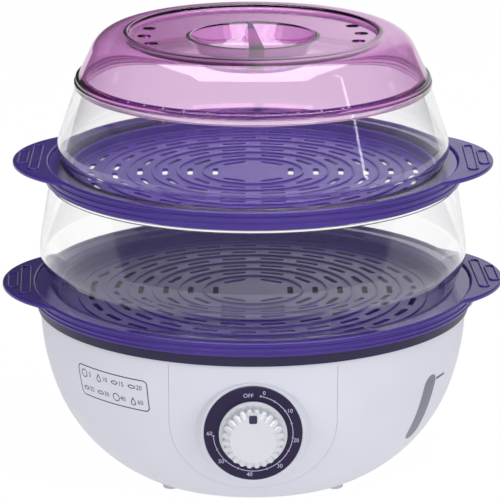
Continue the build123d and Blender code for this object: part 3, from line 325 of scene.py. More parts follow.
def ink_material(name, tone):
    """Printing ink: nearly flat, with a slight unevenness from the pad."""
    finish = Finish(bpy.data.materials.new(name))
    speck = finish.noise(0.4, 3.0)
    worn = [*[min(1.0, 1.25 * value) for value in tone[:3]], 1.0]
    shader = {
        "Base Color": finish.blend(speck, tone, worn),
        "Roughness": 0.42 + 0.12 * speck,
        "Normal": finish.relief(speck, 0.002),
    }
    return finish.output(finish.node("ShaderNodeBsdfPrincipled", {}, shader))


def piece_from(name, points, faces, material):
    """Mesh object from points in millimetres, with its faces turned outwards."""
    mesh = bpy.data.meshes.new(name)
    mesh.from_pydata([[value * MM for value in point] for point in points], [], faces)
    shape = bmesh.new()
    shape.from_mesh(mesh)
    bmesh.ops.recalc_face_normals(shape, faces=shape.faces)
    shape.to_mesh(mesh)
    shape.free()
    mesh.materials.append(material)
    return placed(name, mesh)


def joined(name, pieces):
    """One object from several, which are removed."""
    shape = bmesh.new()
    for piece in pieces:
        shape.from_mesh(piece.data)
    mesh = bpy.data.meshes.new(name)
    shape.to_mesh(mesh)
    shape.free()
    mesh.materials.append(pieces[0].data.materials[0])
    for piece in pieces:
        bpy.data.objects.remove(piece)
    return placed(name, mesh)


def stroke(path, width, closed):
    """Flat strip of ink along a path in a plane, as points (across, up, out) and faces."""
    points = []
    count = len(path)
    for index, (x, y) in enumerate(path):
        before = path[index - 1] if closed or index else path[index]
        after = path[(index + 1) % count] if closed or index < count - 1 else path[index]
        along = Vector((after[0] - before[0], after[1] - before[1])).normalized()
        side = Vector((-along.y, along.x)) * width / 2
        for offset in (-1, 1):
            for out in (0, ink_lift):
                points.append((x + offset * side.x, y + offset * side.y, out))
    faces = []
    for index in range(count if closed else count - 1):
        here, there = 4 * index, 4 * ((index + 1) % count)
        for a, b in ((0, 1), (1, 3), (3, 2), (2, 0)):
            faces.append((here + a, here + b, there + b, there + a))
    if not closed:
        faces += [(0, 1, 3, 2), tuple(4 * (count - 1) + k for k in (0, 1, 3, 2))]
    return points, faces


def rounded_frame(low, high, radius, steps=6):
    """Closed path round a rectangle with round corners."""
    path = []
    corners = (
        (high[0] - radius, high[1] - radius, 0),
        (low[0] + radius, high[1] - radius, 90),
        (low[0] + radius, low[1] + radius, 180),
        (high[0] - radius, low[1] + radius, 270),
    )
    for x, y, start in corners:
        for step in range(steps + 1):
            angle = radians(start + 90 * step / steps)
            path.append((x + radius * cos(angle), y + radius * sin(angle)))
    return path


def finely(path, closed, longest=1.0):
    """The same path with points close enough together to follow a curved face."""
    points = []
    ends = path[1:] + path[:1] if closed else path[1:]
    for start, end in zip(path, ends):
        parts = max(1, round(hypot(end[0] - start[0], end[1] - start[1]) / longest))
        for part in range(parts):
            share = part / parts
            points.append(tuple(a + (b - a) * share for a, b in zip(start, end)))
    if not closed:
        points.append(path[-1])
    return points


def evaluated_mesh(piece):
    """Mesh of a curve, a text or a piece with modifiers."""
    return bpy.data.meshes.new_from_object(
        piece.evaluated_get(bpy.context.evaluated_depsgraph_get())
    )


def lettering(text, size, place):
    """Raised characters centred at a place in a plane, as points and faces in millimetres."""
    curve = bpy.data.curves.new("lettering", "FONT")
    curve.body = text
    curve.size = size
    curve.align_x = "CENTER"
    curve.align_y = "CENTER"
    curve.resolution_u = 3
    curve.extrude = ink_lift / 2
    holder = placed("lettering", curve)
    mesh = evaluated_mesh(holder)
    move = Matrix.Translation((*place, ink_lift / 2))
    points = [tuple(move @ vertex.co) for vertex in mesh.vertices]
    faces = [tuple(face.vertices) for face in mesh.polygons]
    bpy.data.objects.remove(holder)
    return points, faces


def chart_symbol(kind, place, size):
    """Plain shape that stands for a kind of food: a ring, a drop, a leaf or a bar."""
    outline = []
    for step in range(symbol_steps):
        angle = tau * step / symbol_steps
        along, across = cos(angle), sin(angle)
        if kind == "drop":
            across *= drop_width * (1 - along)
        elif kind == "leaf":
            across *= leaf_width * abs(across)
        elif kind == "bar":
            across *= bar_width
        turned = (across, along) if kind == "drop" else (along, across)
        outline.append((place[0] + size * turned[0], place[1] + size * turned[1]))
    return outline


def bowl_radius(height, bearing):
    """Radius of the bowl's face at a height and a bearing from the front, by a ray."""
    out = Vector((sin(bearing), -cos(bearing), 0))
    start = out * ray_start + Vector((0, 0, height * MM))
    place = bowl_node.ray_cast(start, -out)[1]
    return Vector((place.x, place.y)).length / MM


def printed(name, parts, where, material):
    """One piece from flat parts, with each point (across, up, out) put where it belongs."""
    points, faces = [], []
    for part_points, part_faces in parts:
        first = len(points)
        points += [where(*point) for point in part_points]
        faces += [tuple(first + index for index in face) for face in part_faces]
    return piece_from(name, points, faces, material)


def on_bowl(name, parts, bearing, height, material):
    """Wraps flat prints round the bowl, from a bearing and a height at their middle."""
    middle = bowl_radius(height, radians(bearing))

    def where(across, up, out):
        angle = radians(bearing) + across / middle
        radius = bowl_radius(height + up, angle) + out
        return radius * sin(angle), -radius * cos(angle), height + up

    return printed(name, parts, where, material)


ink = ink_material("dark_ink", color(42, 36, 60))
chart_bearing_middle = sum(chart_bearing) / 2
chart_height_middle = sum(chart_heights) / 2
chart_half_width = radians(chart_bearing[1] - chart_bearing[0]) / 2 * bowl_radius(
    chart_height_middle, radians(chart_bearing_middle)
)
chart_half_height = (chart_heights[1] - chart_heights[0]) / 2
frame_path = rounded_frame(
    (-chart_half_width, -chart_half_height), (chart_half_width, chart_half_height), chart_corner
)
chart_parts = [stroke(finely(frame_path, True), chart_line, True)]
column_width = 2 * chart_half_width / (chart_columns + 2 * chart_side_margin)
for index, (kind, minutes) in enumerate(zip(chart_marks, chart_minutes)):
    column, row = index % chart_columns, index // chart_columns
    x = (column - (chart_columns - 1) / 2) * column_width
    y = (0.5 - row) * chart_half_height * chart_row_share
    symbol = chart_symbol(kind, (x + symbol_offset, y), symbol_size)
    chart_parts.append(stroke(symbol, symbol_line, True))
    chart_parts.append(lettering(minutes, minutes_size, (x + minutes_offset, y)))
chart = on_bowl("time_chart", chart_parts, chart_bearing_middle, chart_height_middle, ink)
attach(chart, "base")

tick_middle = sum(tick_bearing) / 2
tick_half = radians(tick_bearing[1] - tick_bearing[0]) / 2 * bowl_radius(
    tick_height, radians(tick_middle)
)
tick_split = tick_split_share * tick_half
tick_parts = [
    stroke(finely([(-tick_half, 0.0), (tick_split, 0.0)], False), tick_line, False),
    stroke(finely([(tick_split, 0.0), (tick_half, 0.0)], False), tick_bar, False),
]
grey_ink = ink_material("grey_ink", color(80, 78, 94))
tick = on_bowl("level_tick", tick_parts, tick_middle, tick_height, grey_ink)
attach(tick, "base")

# ---------------------------------------------------------------- steam ring
# A short moulded collar that stands round the heater plate and gathers the steam. Ports at
# its foot let the water in.
dress(
    moulded_plastic("steam_plastic", color(150, 140, 176), color(138, 128, 166), 0.34),
    "steam_ring",
)

# ---------------------------------------------------------------- timer
# A clockwork timer in a cream case is screwed behind the panel. Its bell cup sits on its back
# and a steel shaft with one flat comes out through the dial.
dress(
    moulded_plastic("timer_case", color(206, 203, 192), color(196, 192, 178), 0.44, 0.5, 0.01),
    "timer_body",
)

# ---------------------------------------------------------------- dial
# A dark purple plate glued to the boss, printed in pale ink: a minute line with a dot every
# five minutes, the tens outside it, and OFF at the top.
dial_low, dial_high = [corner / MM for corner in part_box("dial_ring")]
dial_center = Vector((0, dial_low.y, (dial_low.z + dial_high.z) / 2))
minute_r = 24.2
number_r = 26.5
number_size = 3.6
first_bearing = 11.0
last_bearing = 266.0
dot_count = 13
dot_minutes = 5
dot_r = 0.62
dot_steps = 16
minute_line = 0.42
line_steps = 120
number_lead = 3.7
off_bearing = -6.9
off_r = 24.2


def on_dial(bearing, radius):
    """Place on the dial at a clockwise bearing in degrees from its top."""
    return (radius * sin(radians(bearing)), radius * cos(radians(bearing)))


def circle_path(middle, radius, steps):
    """Closed path round a circle."""
    path = []
    for step in range(steps):
        angle = tau * step / steps
        path.append((middle[0] + radius * cos(angle), middle[1] + radius * sin(angle)))
    return path


def slab(outline, low, high):
    """Points and faces of an upright prism over a closed outline."""
    count = len(outline)
    points = [(x, y, low) for x, y in outline] + [(x, y, high) for x, y in outline]
    faces = [tuple(range(count)), tuple(range(count, 2 * count))]
    for index in range(count):
        after = (index + 1) % count
        faces.append((index, after, count + after, count + index))
    return points, faces


def on_plate(across, up, out):
    """Place on the dial's face, which looks along -Y."""
    return dial_center.x + across, dial_center.y - out, dial_center.z + up


dial_step = (last_bearing - first_bearing) / (dot_count - 1)
line_path = []
for step in range(line_steps + 1):
    share = step / line_steps
    line_path.append(on_dial(first_bearing + (last_bearing - first_bearing) * share, minute_r))
dial_parts = [stroke(line_path, minute_line, False)]
for index in range(dot_count):
    bearing = first_bearing + index * dial_step
    dot = circle_path(on_dial(bearing, minute_r), dot_r, dot_steps)
    dial_parts.append(slab(dot, 0, ink_lift))
    if index % 2 == 0:
        place = on_dial(bearing + number_lead, number_r)
        dial_parts.append(lettering(str(dot_minutes * index), number_size, place))
dial_parts.append(lettering("OFF", number_size, on_dial(off_bearing, off_r)))
pale_ink = ink_material("pale_ink", color(186, 180, 208))
dial_print = printed("dial_print", dial_parts, on_plate, pale_ink)
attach(dial_print, "base")
dial_plastic = moulded_plastic(
    "dial_plate", color(38, 26, 66), color(32, 21, 58), 0.36, 0.25, 0.003, specular_ior_level=0.3
)
dress(dial_plastic, "dial_ring")

# ---------------------------------------------------------------- knob
# A white cup with a thin flange and 24 finger flutes that run out on its sloping shoulder,
# pressed on the timer's shaft. A dark inlay near the face's edge is the pointer.
knob_low, knob_high = [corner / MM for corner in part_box("timer_knob")]
knob_flange_inset = 0.4
knob_flange_r = knob_high.x - knob_flange_inset
knob_back = knob_high.y
knob_height = knob_back - knob_low.y
knob_axis_z = (knob_low.z + knob_high.z) / 2
knob_r = 18.9
knob_flange = 2.0
flute_count = 24
flute_depth = 2.2
flute_narrowness = 2.5
flute_foot = 0.3
flute_segments = 24
knob_face_r = 13.8
knob_shoulder = 3.6
knob_wall = 2.2
hub_r = 5.5
hub_bore_r = 3.05
pointer_raise = 0.9
pocket_half = 2.5
pocket_corner = 1.0
pocket_depth = 0.9
inlay_gap = 0.05
inlay_sink = 0.25
cut_past = 1.0  # how far a cutter stands out of what it cuts
axis_r = 1e-6  # radius under which a point counts as on the axis


def round_corners(corners, steps=4):
    """Outline through (across, up) or (across, up, radius) corners, with those radii rounded."""
    outline = []
    count = len(corners)
    for index, corner in enumerate(corners):
        here = Vector(corner[:2])
        radius = corner[2] if len(corner) > 2 else 0.0
        to_before = Vector(corners[index - 1][:2]) - here
        to_after = Vector(corners[(index + 1) % count][:2]) - here
        if not radius:
            outline.append(tuple(here))
            continue
        half = to_before.angle(to_after) / 2
        run = radius / tan(half)
        start = here + to_before.normalized() * run
        end = here + to_after.normalized() * run
        center = here + (to_before.normalized() + to_after.normalized()).normalized() * (
            radius / sin(half)
        )
        sweep = (start - center).angle_signed(end - center)
        for step in range(steps + 1):
            turn = Matrix.Rotation(-sweep * step / steps, 2)
            outline.append(tuple(center + turn @ (start - center)))
    return outline


def skin(rows, loop):
    """Faces between rows of points, with the last row joined to the first. Each row may be a
    loop, and rows may share a point."""
    faces = []
    count = len(rows[0])
    for here, there in zip(rows, rows[1:] + rows[:1]):
        for place in range(count if loop else count - 1):
            after = (place + 1) % count
            corners = (here[place], here[after], there[after], there[place])
            faces.append(tuple(dict.fromkeys(corners)))
    return faces


def turned(name, section, material, segments):
    """Closed mesh turned round the Z axis. Its section is a loop of (radius, height) points,
    or one that starts and ends on the axis, and may depend on the angle."""
    points, rows = [], []
    for segment in range(segments):
        angle = tau * segment / segments
        outline = section(angle) if callable(section) else section
        row = []
        for place, (radius, height) in enumerate(outline):
            if radius < axis_r and segment:
                row.append(rows[0][place])
                continue
            row.append(len(points))
            points.append((radius * cos(angle), radius * sin(angle), height))
        rows.append(row)
    return piece_from(name, points, skin(rows, outline[0][0] > axis_r), material)


def smooth(piece, sharp=38.0):
    """Smooth shading with true edges kept, weighted so that flat faces stay flat."""
    piece.data.shade_smooth()
    piece.data.set_sharp_from_angle(angle=radians(sharp))
    weigh = piece.modifiers.new("flat_faces", "WEIGHTED_NORMAL")
    weigh.keep_sharp = True
    return piece


def knob_section(angle):
    """Section from the face's middle round the fluted side and the flange to the hollow."""
    side = knob_r - flute_depth * (0.5 + 0.5 * cos(flute_count * angle)) ** flute_narrowness
    inner = knob_r - flute_depth - knob_wall
    ceiling = knob_height - knob_wall
    return round_corners(
        [
            (0, knob_height),
            (knob_face_r, knob_height, 1.2),
            (side, knob_height - knob_shoulder, 1.0),
            (side, knob_flange, flute_foot),
            (knob_flange_r, knob_flange, 0.5),
            (knob_flange_r, 0.0, 0.3),
            (inner, 0.0, 0.3),
            (inner, ceiling, 0.6),
            (hub_r, ceiling, 0.4),
            (hub_r, 0.0, 0.3),
            (hub_bore_r, 0.0),
            (hub_bore_r, ceiling),
            (0, ceiling),
        ]
    )


knob_plastic = moulded_plastic(
    "knob_plastic", color(212, 214, 220), color(207, 209, 215), 0.22, coat_weight=0.25
)
knob = turned("fluted_knob", knob_section, knob_plastic, flute_segments * flute_count)


def cut_away(piece, cutter, operation="DIFFERENCE"):
    """Boolean of two closed meshes, written into the first. The second is removed."""
    change = piece.modifiers.new("cut", "BOOLEAN")
    change.operation = operation
    change.solver = "EXACT"
    change.object = cutter
    bpy.context.view_layer.update()
    mesh = evaluated_mesh(piece)
    piece.modifiers.clear()
    piece.data = mesh
    bpy.data.objects.remove(cutter)


def prism(outline, low, high, material):
    """Upright prism over a closed outline, as a piece of its own."""
    return piece_from("prism", *slab(outline, low, high), material)


pointer_low, pointer_high = [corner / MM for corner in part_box("knob_pointer")]
pointer_up = (pointer_low.z + pointer_high.z) / 2 - knob_axis_z + pointer_raise


def pointer_frame(inset):
    """Rounded square round the pointer's place on the face."""
    half = pocket_half - inset
    return rounded_frame(
        (-half, pointer_up - half), (half, pointer_up + half), pocket_corner - inset
    )


pocket_floor = knob_height - pocket_depth
pocket = prism(pointer_frame(0.0), pocket_floor, knob_height + cut_past, knob_plastic)
cut_away(knob, pocket)
inlay = prism(
    pointer_frame(inlay_gap),
    pocket_floor,
    knob_height - inlay_sink,
    moulded_plastic("pointer_plastic", color(42, 30, 78), color(36, 26, 70), 0.28),
)
stand_up = Matrix.Translation(Vector((0, knob_back, knob_axis_z)) * MM) @ Matrix.Rotation(
    pi / 2, 4, "X"
)
inlay.name = "pointer_inlay"
inlay.data.transform(stand_up)
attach(inlay, "knob")
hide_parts("knob_pointer")
knob.data.transform(stand_up)
smooth(knob)
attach(knob, "knob")
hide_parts("timer_knob")

# ---------------------------------------------------------------- drip tray
# A dark purple dish with a steam chimney stands on the basin's rim. Its outer wall is the dark
# band between the bowl and the lower steaming tray. Its dark purple is partly the dish's own
# colour and partly painted shade, the shade that falls under the tray's rim.
dark_purple = moulded_plastic(
    "dark_purple", color(34, 26, 68), color(29, 22, 60), 0.3, specular_ior_level=0.4
)
dress(dark_purple, "drip_tray")

# ---------------------------------------------------------------- steaming trays
# Purple moulded trays: a channel for the ring above, a sunk floor with rows of steam slots and
# round ribs, a ridged rim, and two flat ears with raised grip ribs.
purple_plastic = moulded_plastic(
    "purple_plastic", color(70, 45, 138), color(60, 37, 126), 0.17, specular_ior_level=0.36
)
tray_wall = 2.2
rim_wall = 2.7
well_depth = 5.6
ear_thickness = 3.0
ear_r = 72.0
ear_root_r = 10.0
slot_length = 16.0
slot_width = 3.4
slot_row_pitch = 16.0
first_slot_row = 24.0
slot_spacing = 24.0
slot_margin = 6.0
floor_edge = 0.35
floor_edge_steps = 180
floor_inset = 0.4  # of the slotted floor's edge, inside the rim's own strip of floor
floor_strip = 1.5
floor_rib_half = 0.7
floor_rib_height = 1.0
floor_rib_root = 0.3
groove_depth = 0.8
top_groove = 1.3
low_groove = 1.1
ridge_share = 0.36
skirt_step = 0.3
grip_ribs = ((14.5, 62.0), (6.4, 34.0))
grip_rib_width = 7.2
grip_rib_line = 1.4
grip_rib_height = 0.8
grip_rib_root = 0.4
ridge_sink = 0.05
rib_corner_steps = 3
slot_end_steps = 4
grip_end_steps = 8
end_gap = 0.01  # keeps the round corners of an end apart
rim_segments = 480
rib_segments = 180


def ear_reach(angle, rim_r, tip_r):
    """Radius of a tray's outline: its rim, two round ears and the fillets between them."""
    middle = tip_r - ear_r
    bearing = abs((angle + pi / 2) % pi - pi / 2)
    root = rim_r + ear_root_r
    apart = ear_r + ear_root_r
    root_bearing = acos((root**2 + middle**2 - apart**2) / (2 * root * middle))
    if bearing >= root_bearing:
        return rim_r
    joint = Vector((root * cos(root_bearing) - middle, root * sin(root_bearing))) * ear_r / apart
    if bearing >= atan2(joint.y, joint.x + middle):
        gap = root_bearing - bearing
        return root * cos(gap) - sqrt(ear_root_r**2 - (root * sin(gap)) ** 2)
    return middle * cos(bearing) + sqrt(ear_r**2 - (middle * sin(bearing)) ** 2)


def slotted_floor(floor_r, floor_z, material):
    """Flat floor with rounded slots in rings, cut as one outline with holes."""
    curve = bpy.data.curves.new("floor", "CURVE")
    curve.dimensions = "2D"
    curve.fill_mode = "BOTH"
    curve.extrude = (tray_wall / 2 - floor_edge) * MM
    curve.bevel_depth = floor_edge * MM
    curve.bevel_resolution = 1
    curve.offset = -floor_edge * MM
    outlines = [circle_path((0, 0), floor_r, floor_edge_steps)]
    row_r = first_slot_row
    while row_r + slot_width + slot_margin < floor_r:
        count = int(tau * row_r / slot_spacing)
        for index in range(count):
            place = Matrix.Rotation(tau * index / count, 2)
            slot = rounded_frame(
                (row_r - slot_width / 2, -slot_length / 2),
                (row_r + slot_width / 2, slot_length / 2),
                slot_width / 2 - end_gap,
                slot_end_steps,
            )
            outlines.append([tuple(place @ Vector(point)) for point in reversed(slot)])
        row_r += slot_row_pitch
    for outline in outlines:
        spline = curve.splines.new("POLY")
        spline.points.add(len(outline) - 1)
        for point, (x, y) in zip(spline.points, outline):
            point.co = (x * MM, y * MM, 0, 1)
        spline.use_cyclic_u = True
    holder = placed("floor", curve)
    mesh = evaluated_mesh(holder)
    bpy.data.objects.remove(holder)
    mesh.transform(Matrix.Translation((0, 0, (floor_z - tray_wall / 2) * MM)))
    mesh.materials.clear()
    mesh.materials.append(material)
    return placed("floor", mesh)


def floor_rib(radius, base, material):
    """Low round rib on the floor."""
    section = round_corners(
        [
            (radius - floor_rib_half, base - floor_rib_root),
            (radius + floor_rib_half, base - floor_rib_root),
            (radius + floor_rib_half, base + floor_rib_height, 0.5),
            (radius - floor_rib_half, base + floor_rib_height, 0.5),
        ],
        rib_corner_steps,
    )
    return turned("rib", section, material, rib_segments)


def grip_rib(center_x, length, base, turn, material):
    """Raised racetrack on an ear: a rounded ridge along a closed path."""
    half_width = (grip_rib_width - grip_rib_line) / 2
    half_length = (length - grip_rib_line) / 2
    path = rounded_frame(
        (center_x - half_width, -half_length),
        (center_x + half_width, half_length),
        half_width - end_gap,
        grip_end_steps,
    )
    ridge = round_corners(
        [
            (-grip_rib_line / 2, -grip_rib_root),
            (grip_rib_line / 2, -grip_rib_root),
            (grip_rib_line / 2, grip_rib_height, 0.45),
            (-grip_rib_line / 2, grip_rib_height, 0.45),
        ],
        rib_corner_steps,
    )
    points, rows = [], []
    turning = Matrix.Rotation(turn, 2)
    for index, place in enumerate(path):
        along = Vector(path[(index + 1) % len(path)]) - Vector(path[index - 1])
        side = Vector((-along.y, along.x)).normalized()
        for across, up in ridge:
            spot = turning @ (Vector(place) + side * across)
            points.append((spot.x, spot.y, base + up))
        rows.append(range(len(points) - len(ridge), len(points)))
    return piece_from("grip_rib", points, skin(rows, True), material)


# The ring that stands on the tray, the tray's turn, the radius of its well and its skirt's drop.
tray_shapes = {
    "lower_tray": ("lower_ring", radians(3.0), 123.7, 3.0),
    "upper_tray": ("upper_ring", 0.0, 115.0, 5.3),
}
for name, (ring_above, turn, well_r, skirt_drop) in tray_shapes.items():
    tray_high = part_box(name)[1] / MM
    rim_r = tray_high.y
    rim_top = tray_high.z - grip_rib_height
    channel_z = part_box(ring_above)[0].z / MM
    web_low = channel_z - tray_wall
    floor_z = channel_z - well_depth
    ear_low = rim_top - ear_thickness
    tip_r = tray_high.x / cos(turn)
    skirt_low = web_low - skirt_drop

    def tray_section(angle):
        """Section from the well's floor over the channel and the rim, and back under it."""
        reach = ear_reach(angle - turn, rim_r, tip_r)
        side = rim_r - groove_depth
        ridge_high = ear_low - top_groove
        ridge_low = ridge_high - ridge_share * (ridge_high - skirt_low)
        step_high = ridge_low - low_groove
        corners = [
            (well_r - floor_strip, floor_z, 0.0),
            (well_r, floor_z, 0.8),
            (well_r, channel_z, 0.6),
            (rim_r - rim_wall, channel_z, 0.4),
            (rim_r - rim_wall, rim_top, 1.0),
            (reach, rim_top, 1.2),
            (reach, ear_low, 1.0),
            (side, ear_low, 0.3),
            (side, ridge_high, 0.3),
            (rim_r - ridge_sink, ridge_high, 0.5),
            (rim_r - ridge_sink, ridge_low, 0.5),
            (side, ridge_low, 0.3),
            (side, step_high, 0.3),
            (rim_r - skirt_step, step_high, 0.4),
            (rim_r - skirt_step, skirt_low, 0.7),
            (rim_r - rim_wall, skirt_low, 0.4),
            (rim_r - rim_wall, web_low, 0.5),
            (well_r + tray_wall, web_low, 0.8),
            (well_r + tray_wall, floor_z - tray_wall, 1.0),
            (well_r - floor_strip, floor_z - tray_wall, 0.0),
        ]
        return round_corners(corners, rib_corner_steps)

    parts = [
        turned("rim", tray_section, purple_plastic, rim_segments),
        slotted_floor(well_r - floor_inset, floor_z, purple_plastic),
    ]
    row_r = first_slot_row
    while row_r + slot_width + slot_margin < well_r:
        if row_r + slot_row_pitch / 2 + 2 * floor_rib_half < well_r:
            parts.append(floor_rib(row_r + slot_row_pitch / 2, floor_z, purple_plastic))
        row_r += slot_row_pitch
    for side in (0, pi):
        for inset, length in grip_ribs:
            parts.append(grip_rib(tip_r - inset, length, rim_top, turn + side, purple_plastic))
    tray = smooth(joined(name.replace("tray", "steaming_tray"), parts))
    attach(tray, name)
    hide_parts(name)


# ---------------------------------------------------------------- clear rings
# The two food rings are moulded in clear plastic: a flat foot that sits in the tray's channel,
# a wall that swells and then narrows, and a band or a bead round the top.
def clear_plastic(name, tint, rough, absorbed, density):
    """Clear moulded plastic with true thickness. Lamps shine through it, past its gloss."""
    finish = Finish(bpy.data.materials.new(name))
    slow = finish.noise(22.0)
    fine = finish.noise(0.6, 3.0)
    shader = {
        "Base Color": tint,
        "Roughness": rough + 0.02 * slow + 0.01 * fine,
        "Transmission Weight": 1.0,
        "IOR": 1.49,
        "Normal": finish.relief(slow, 0.02),
    }
    glass = finish.node("ShaderNodeBsdfPrincipled", {}, shader)
    lit = finish.node("ShaderNodeBsdfTransparent", {}, {"Color": (0.93, 0.93, 0.93, 1)})
    lamp_ray = finish.node("ShaderNodeLightPath", output="Is Shadow Ray")
    surface = finish.node("ShaderNodeMixShader", {}, [lamp_ray, glass, lit])
    absorb = finish.node(
        "ShaderNodeVolumeAbsorption", {}, {"Color": absorbed, "Density": density}
    )
    return finish.output(surface, volume=absorb)


ring_plastic = clear_plastic(
    "clear_plastic", (1.0, 1.0, 1.0, 1.0), 0.01, (0.72, 0.74, 0.80, 1.0), 14.0
)
ring_wall = 2.2
ring_segments = 288
band_foot = 8.1  # of the lower ring's band, under its top edge
band_top = 6.5
band_reach = 0.9
bead_foot = 3.6  # of the upper ring's bead, under its top edge
bead_reach = 2.6
# Radii of the foot and the swell, the swell's height, the bows below and above it, top radius.
ring_bows = {
    "lower_ring": (128.2, 136.2, 24.2, 14.0, 60.0, 128.3),
    "upper_ring": (119.5, 124.5, 11.9, 8.0, 20.0, 110.5),
}


def bow_ends(swell, below, above, foot, top):
    """The two arcs of a ring's wall: centre radius, bow, and the angle where each runs out."""
    arcs = []
    for bow, end, side in ((below, foot, 1), (above, top, -1)):
        center_r = swell[0] - bow
        bearing = atan2(end[1] - swell[1], end[0] - center_r)
        span = acos(bow / hypot(end[0] - center_r, end[1] - swell[1]))
        arcs.append((center_r, bow, bearing + side * span))
    return arcs


def wall_face(arcs, swell_z, foot, top, depth, steps=14):
    """One face of a ring's wall, from its foot up to its top, at a depth under the outside."""
    face = [(foot[0] - depth / cos(arcs[0][2]), foot[1])]
    for arc, places in zip(arcs, (range(steps, -1, -1), range(1, steps + 1))):
        center_r, bow, tangent = arc
        for step in places:
            angle = tangent * step / steps
            face.append(
                (center_r + (bow - depth) * cos(angle), swell_z + (bow - depth) * sin(angle))
            )
    face.append((top[0] - depth / cos(arcs[1][2]), top[1]))
    return face


for name, (foot_r, swell_r, swell_rise, below, above, top_r) in ring_bows.items():
    ring_low, ring_high = [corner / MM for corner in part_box(name)]
    foot = (foot_r, ring_low.z)
    top = (top_r, ring_high.z)
    swell = (swell_r, ring_low.z + swell_rise)
    arcs = bow_ends(swell, below, above, foot, top)
    outer = wall_face(arcs, swell[1], foot, top, 0.0)
    inner = wall_face(arcs, swell[1], foot, top, ring_wall)
    slope = (outer[-1][0] - outer[-2][0]) / (outer[-1][1] - outer[-2][1])

    def on_wall(z):
        """Radius of the straight upper stretch of the wall at a height."""
        return top_r + slope * (z - top[1])

    flange_r = ring_high.y
    foot_lean = (outer[1][0] - outer[0][0]) / (outer[1][1] - outer[0][1])
    corners = [
        (inner[0][0], foot[1], 0.4),
        (flange_r, foot[1], 0.5),
        (flange_r, foot[1] + ring_wall, 0.6),
        (foot_r + foot_lean * ring_wall, foot[1] + ring_wall, 0.8),
        *outer[1:-1],
    ]
    if name == "lower_ring":
        band_low, band_high = top[1] - band_foot, top[1] - band_top
        corners += [
            (on_wall(band_low), band_low, 0.2),
            (top_r + band_reach, band_low, 0.35),
            (top_r + band_reach, band_high, 0.35),
            (on_wall(band_high), band_high, 0.2),
            (top_r, top[1], 0.6),
        ]
    else:
        bead_low = top[1] - bead_foot
        corners += [
            (on_wall(bead_low), bead_low, 0.4),
            (top_r + bead_reach, bead_low, 0.9),
            (top_r + bead_reach, top[1], 0.9),
        ]
    corners += [(inner[-1][0], top[1], 0.5), *reversed(inner[1:-1])]
    section = round_corners(corners)
    ring = turned(name.replace("ring", "food_ring"), section, ring_plastic, ring_segments)
    smooth(ring)
    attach(ring, name)
    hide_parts(name)

# ---------------------------------------------------------------- lid
# A tinted moulding with an even wall: a flange that rests on the upper ring, a spigot inside
# it, a leaning side, a rolled shoulder, and a sunk top with a round finger pocket, a tapering
# web across it and three steam holes each side.
lid_plastic = clear_plastic(
    "lid_plastic", (0.84, 0.75, 0.83, 1.0), 0.012, (0.83, 0.10, 0.80, 1.0), 150.0
)
lid_low, lid_high = [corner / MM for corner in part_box("lid")]
lid_wall = 2.4
lid_flange_height = 2.6
lid_step = 1.7
recess_inset = 33.6
recess_depth = 3.3
pocket_drop = 14.8
lid_top = lid_high.z
lid_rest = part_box("upper_ring")[1].z / MM
lid_flange_r = lid_high.y
lid_flange_top = lid_rest + lid_flange_height
lid_foot_r = lid_flange_r - lid_step
lid_lean = radians(25.2)
lid_bow = 19.0
bow_z = lid_top - lid_bow
side_top_z = bow_z + lid_bow * sin(lid_lean)
bow_r = lid_foot_r - (side_top_z - lid_flange_top) * tan(lid_lean) - lid_bow * cos(lid_lean)
recess_r = lid_flange_r - recess_inset
recess_z = lid_top - recess_depth
pocket_r = 39.5
pocket_floor_r = 30.0
pocket_z = recess_z - pocket_drop
spigot_r = 106.7
spigot_wall = 1.8
web_widths = (9.5, 2.4)
web_sink = 1.2
vent_r = 4.4
vent_steps = 40
vent_circle = 68.5
vent_spacing = 19.0
lid_turn = radians(3.3)
lid_segments = 256


def shoulder(depth, steps=18):
    """Rolled shoulder from the crest down to the leaning side, at a depth under its face."""
    radius = lid_bow - depth
    arc = []
    for step in range(steps + 1):
        angle = pi / 2 + (lid_lean - pi / 2) * step / steps
        arc.append((bow_r + radius * cos(angle), bow_z + radius * sin(angle)))
    return arc


lid_outline = round_corners(
    [
        (0, pocket_z),
        (pocket_floor_r, pocket_z, 12.0),
        (pocket_r, recess_z, 1.2),
        (recess_r, recess_z, 1.0),
        (recess_r, lid_top, 1.2),
        *shoulder(0.0),
        (lid_foot_r, lid_flange_top, 0.4),
        (lid_flange_r, lid_flange_top, 0.7),
        (lid_flange_r, lid_rest, 0.4),
        (spigot_r, lid_rest, 0.2),
        (spigot_r, lid_low.z, 0.5),
        (spigot_r - spigot_wall, lid_low.z, 0.5),
        (spigot_r - spigot_wall, lid_flange_top, 0.5),
        (lid_foot_r - lid_wall / cos(lid_lean), lid_flange_top, 0.5),
        *reversed(shoulder(lid_wall)),
        (recess_r + lid_wall, lid_top - lid_wall, 0.8),
        (recess_r + lid_wall, recess_z - lid_wall, 2.0),
        (pocket_r + lid_wall, recess_z - lid_wall, 1.0),
        (pocket_floor_r + lid_wall / 2, pocket_z - lid_wall, 13.0),
        (0, pocket_z - lid_wall),
    ]
)
lid = turned("tinted_lid", lid_outline, lid_plastic, lid_segments)


def lid_web():
    """Upright web across the pocket, wide at the front and narrow at the back."""
    points = []
    for z, half in ((pocket_z - web_sink, pocket_floor_r), (recess_z, pocket_r)):
        for end in (-1, 1):
            y = end * (half + web_sink)
            width = web_widths[0] + (web_widths[1] - web_widths[0]) * (y / pocket_r + 1) / 2
            for side in (-1, 1):
                points.append((side * width / 2, y, z))
    faces = [(0, 1, 3, 2), (4, 5, 7, 6), (0, 1, 5, 4), (2, 3, 7, 6), (0, 2, 6, 4), (1, 3, 7, 5)]
    web = piece_from("web", points, faces, lid_plastic)
    web.data.transform(Matrix.Rotation(lid_turn, 4, "Z"))
    return web


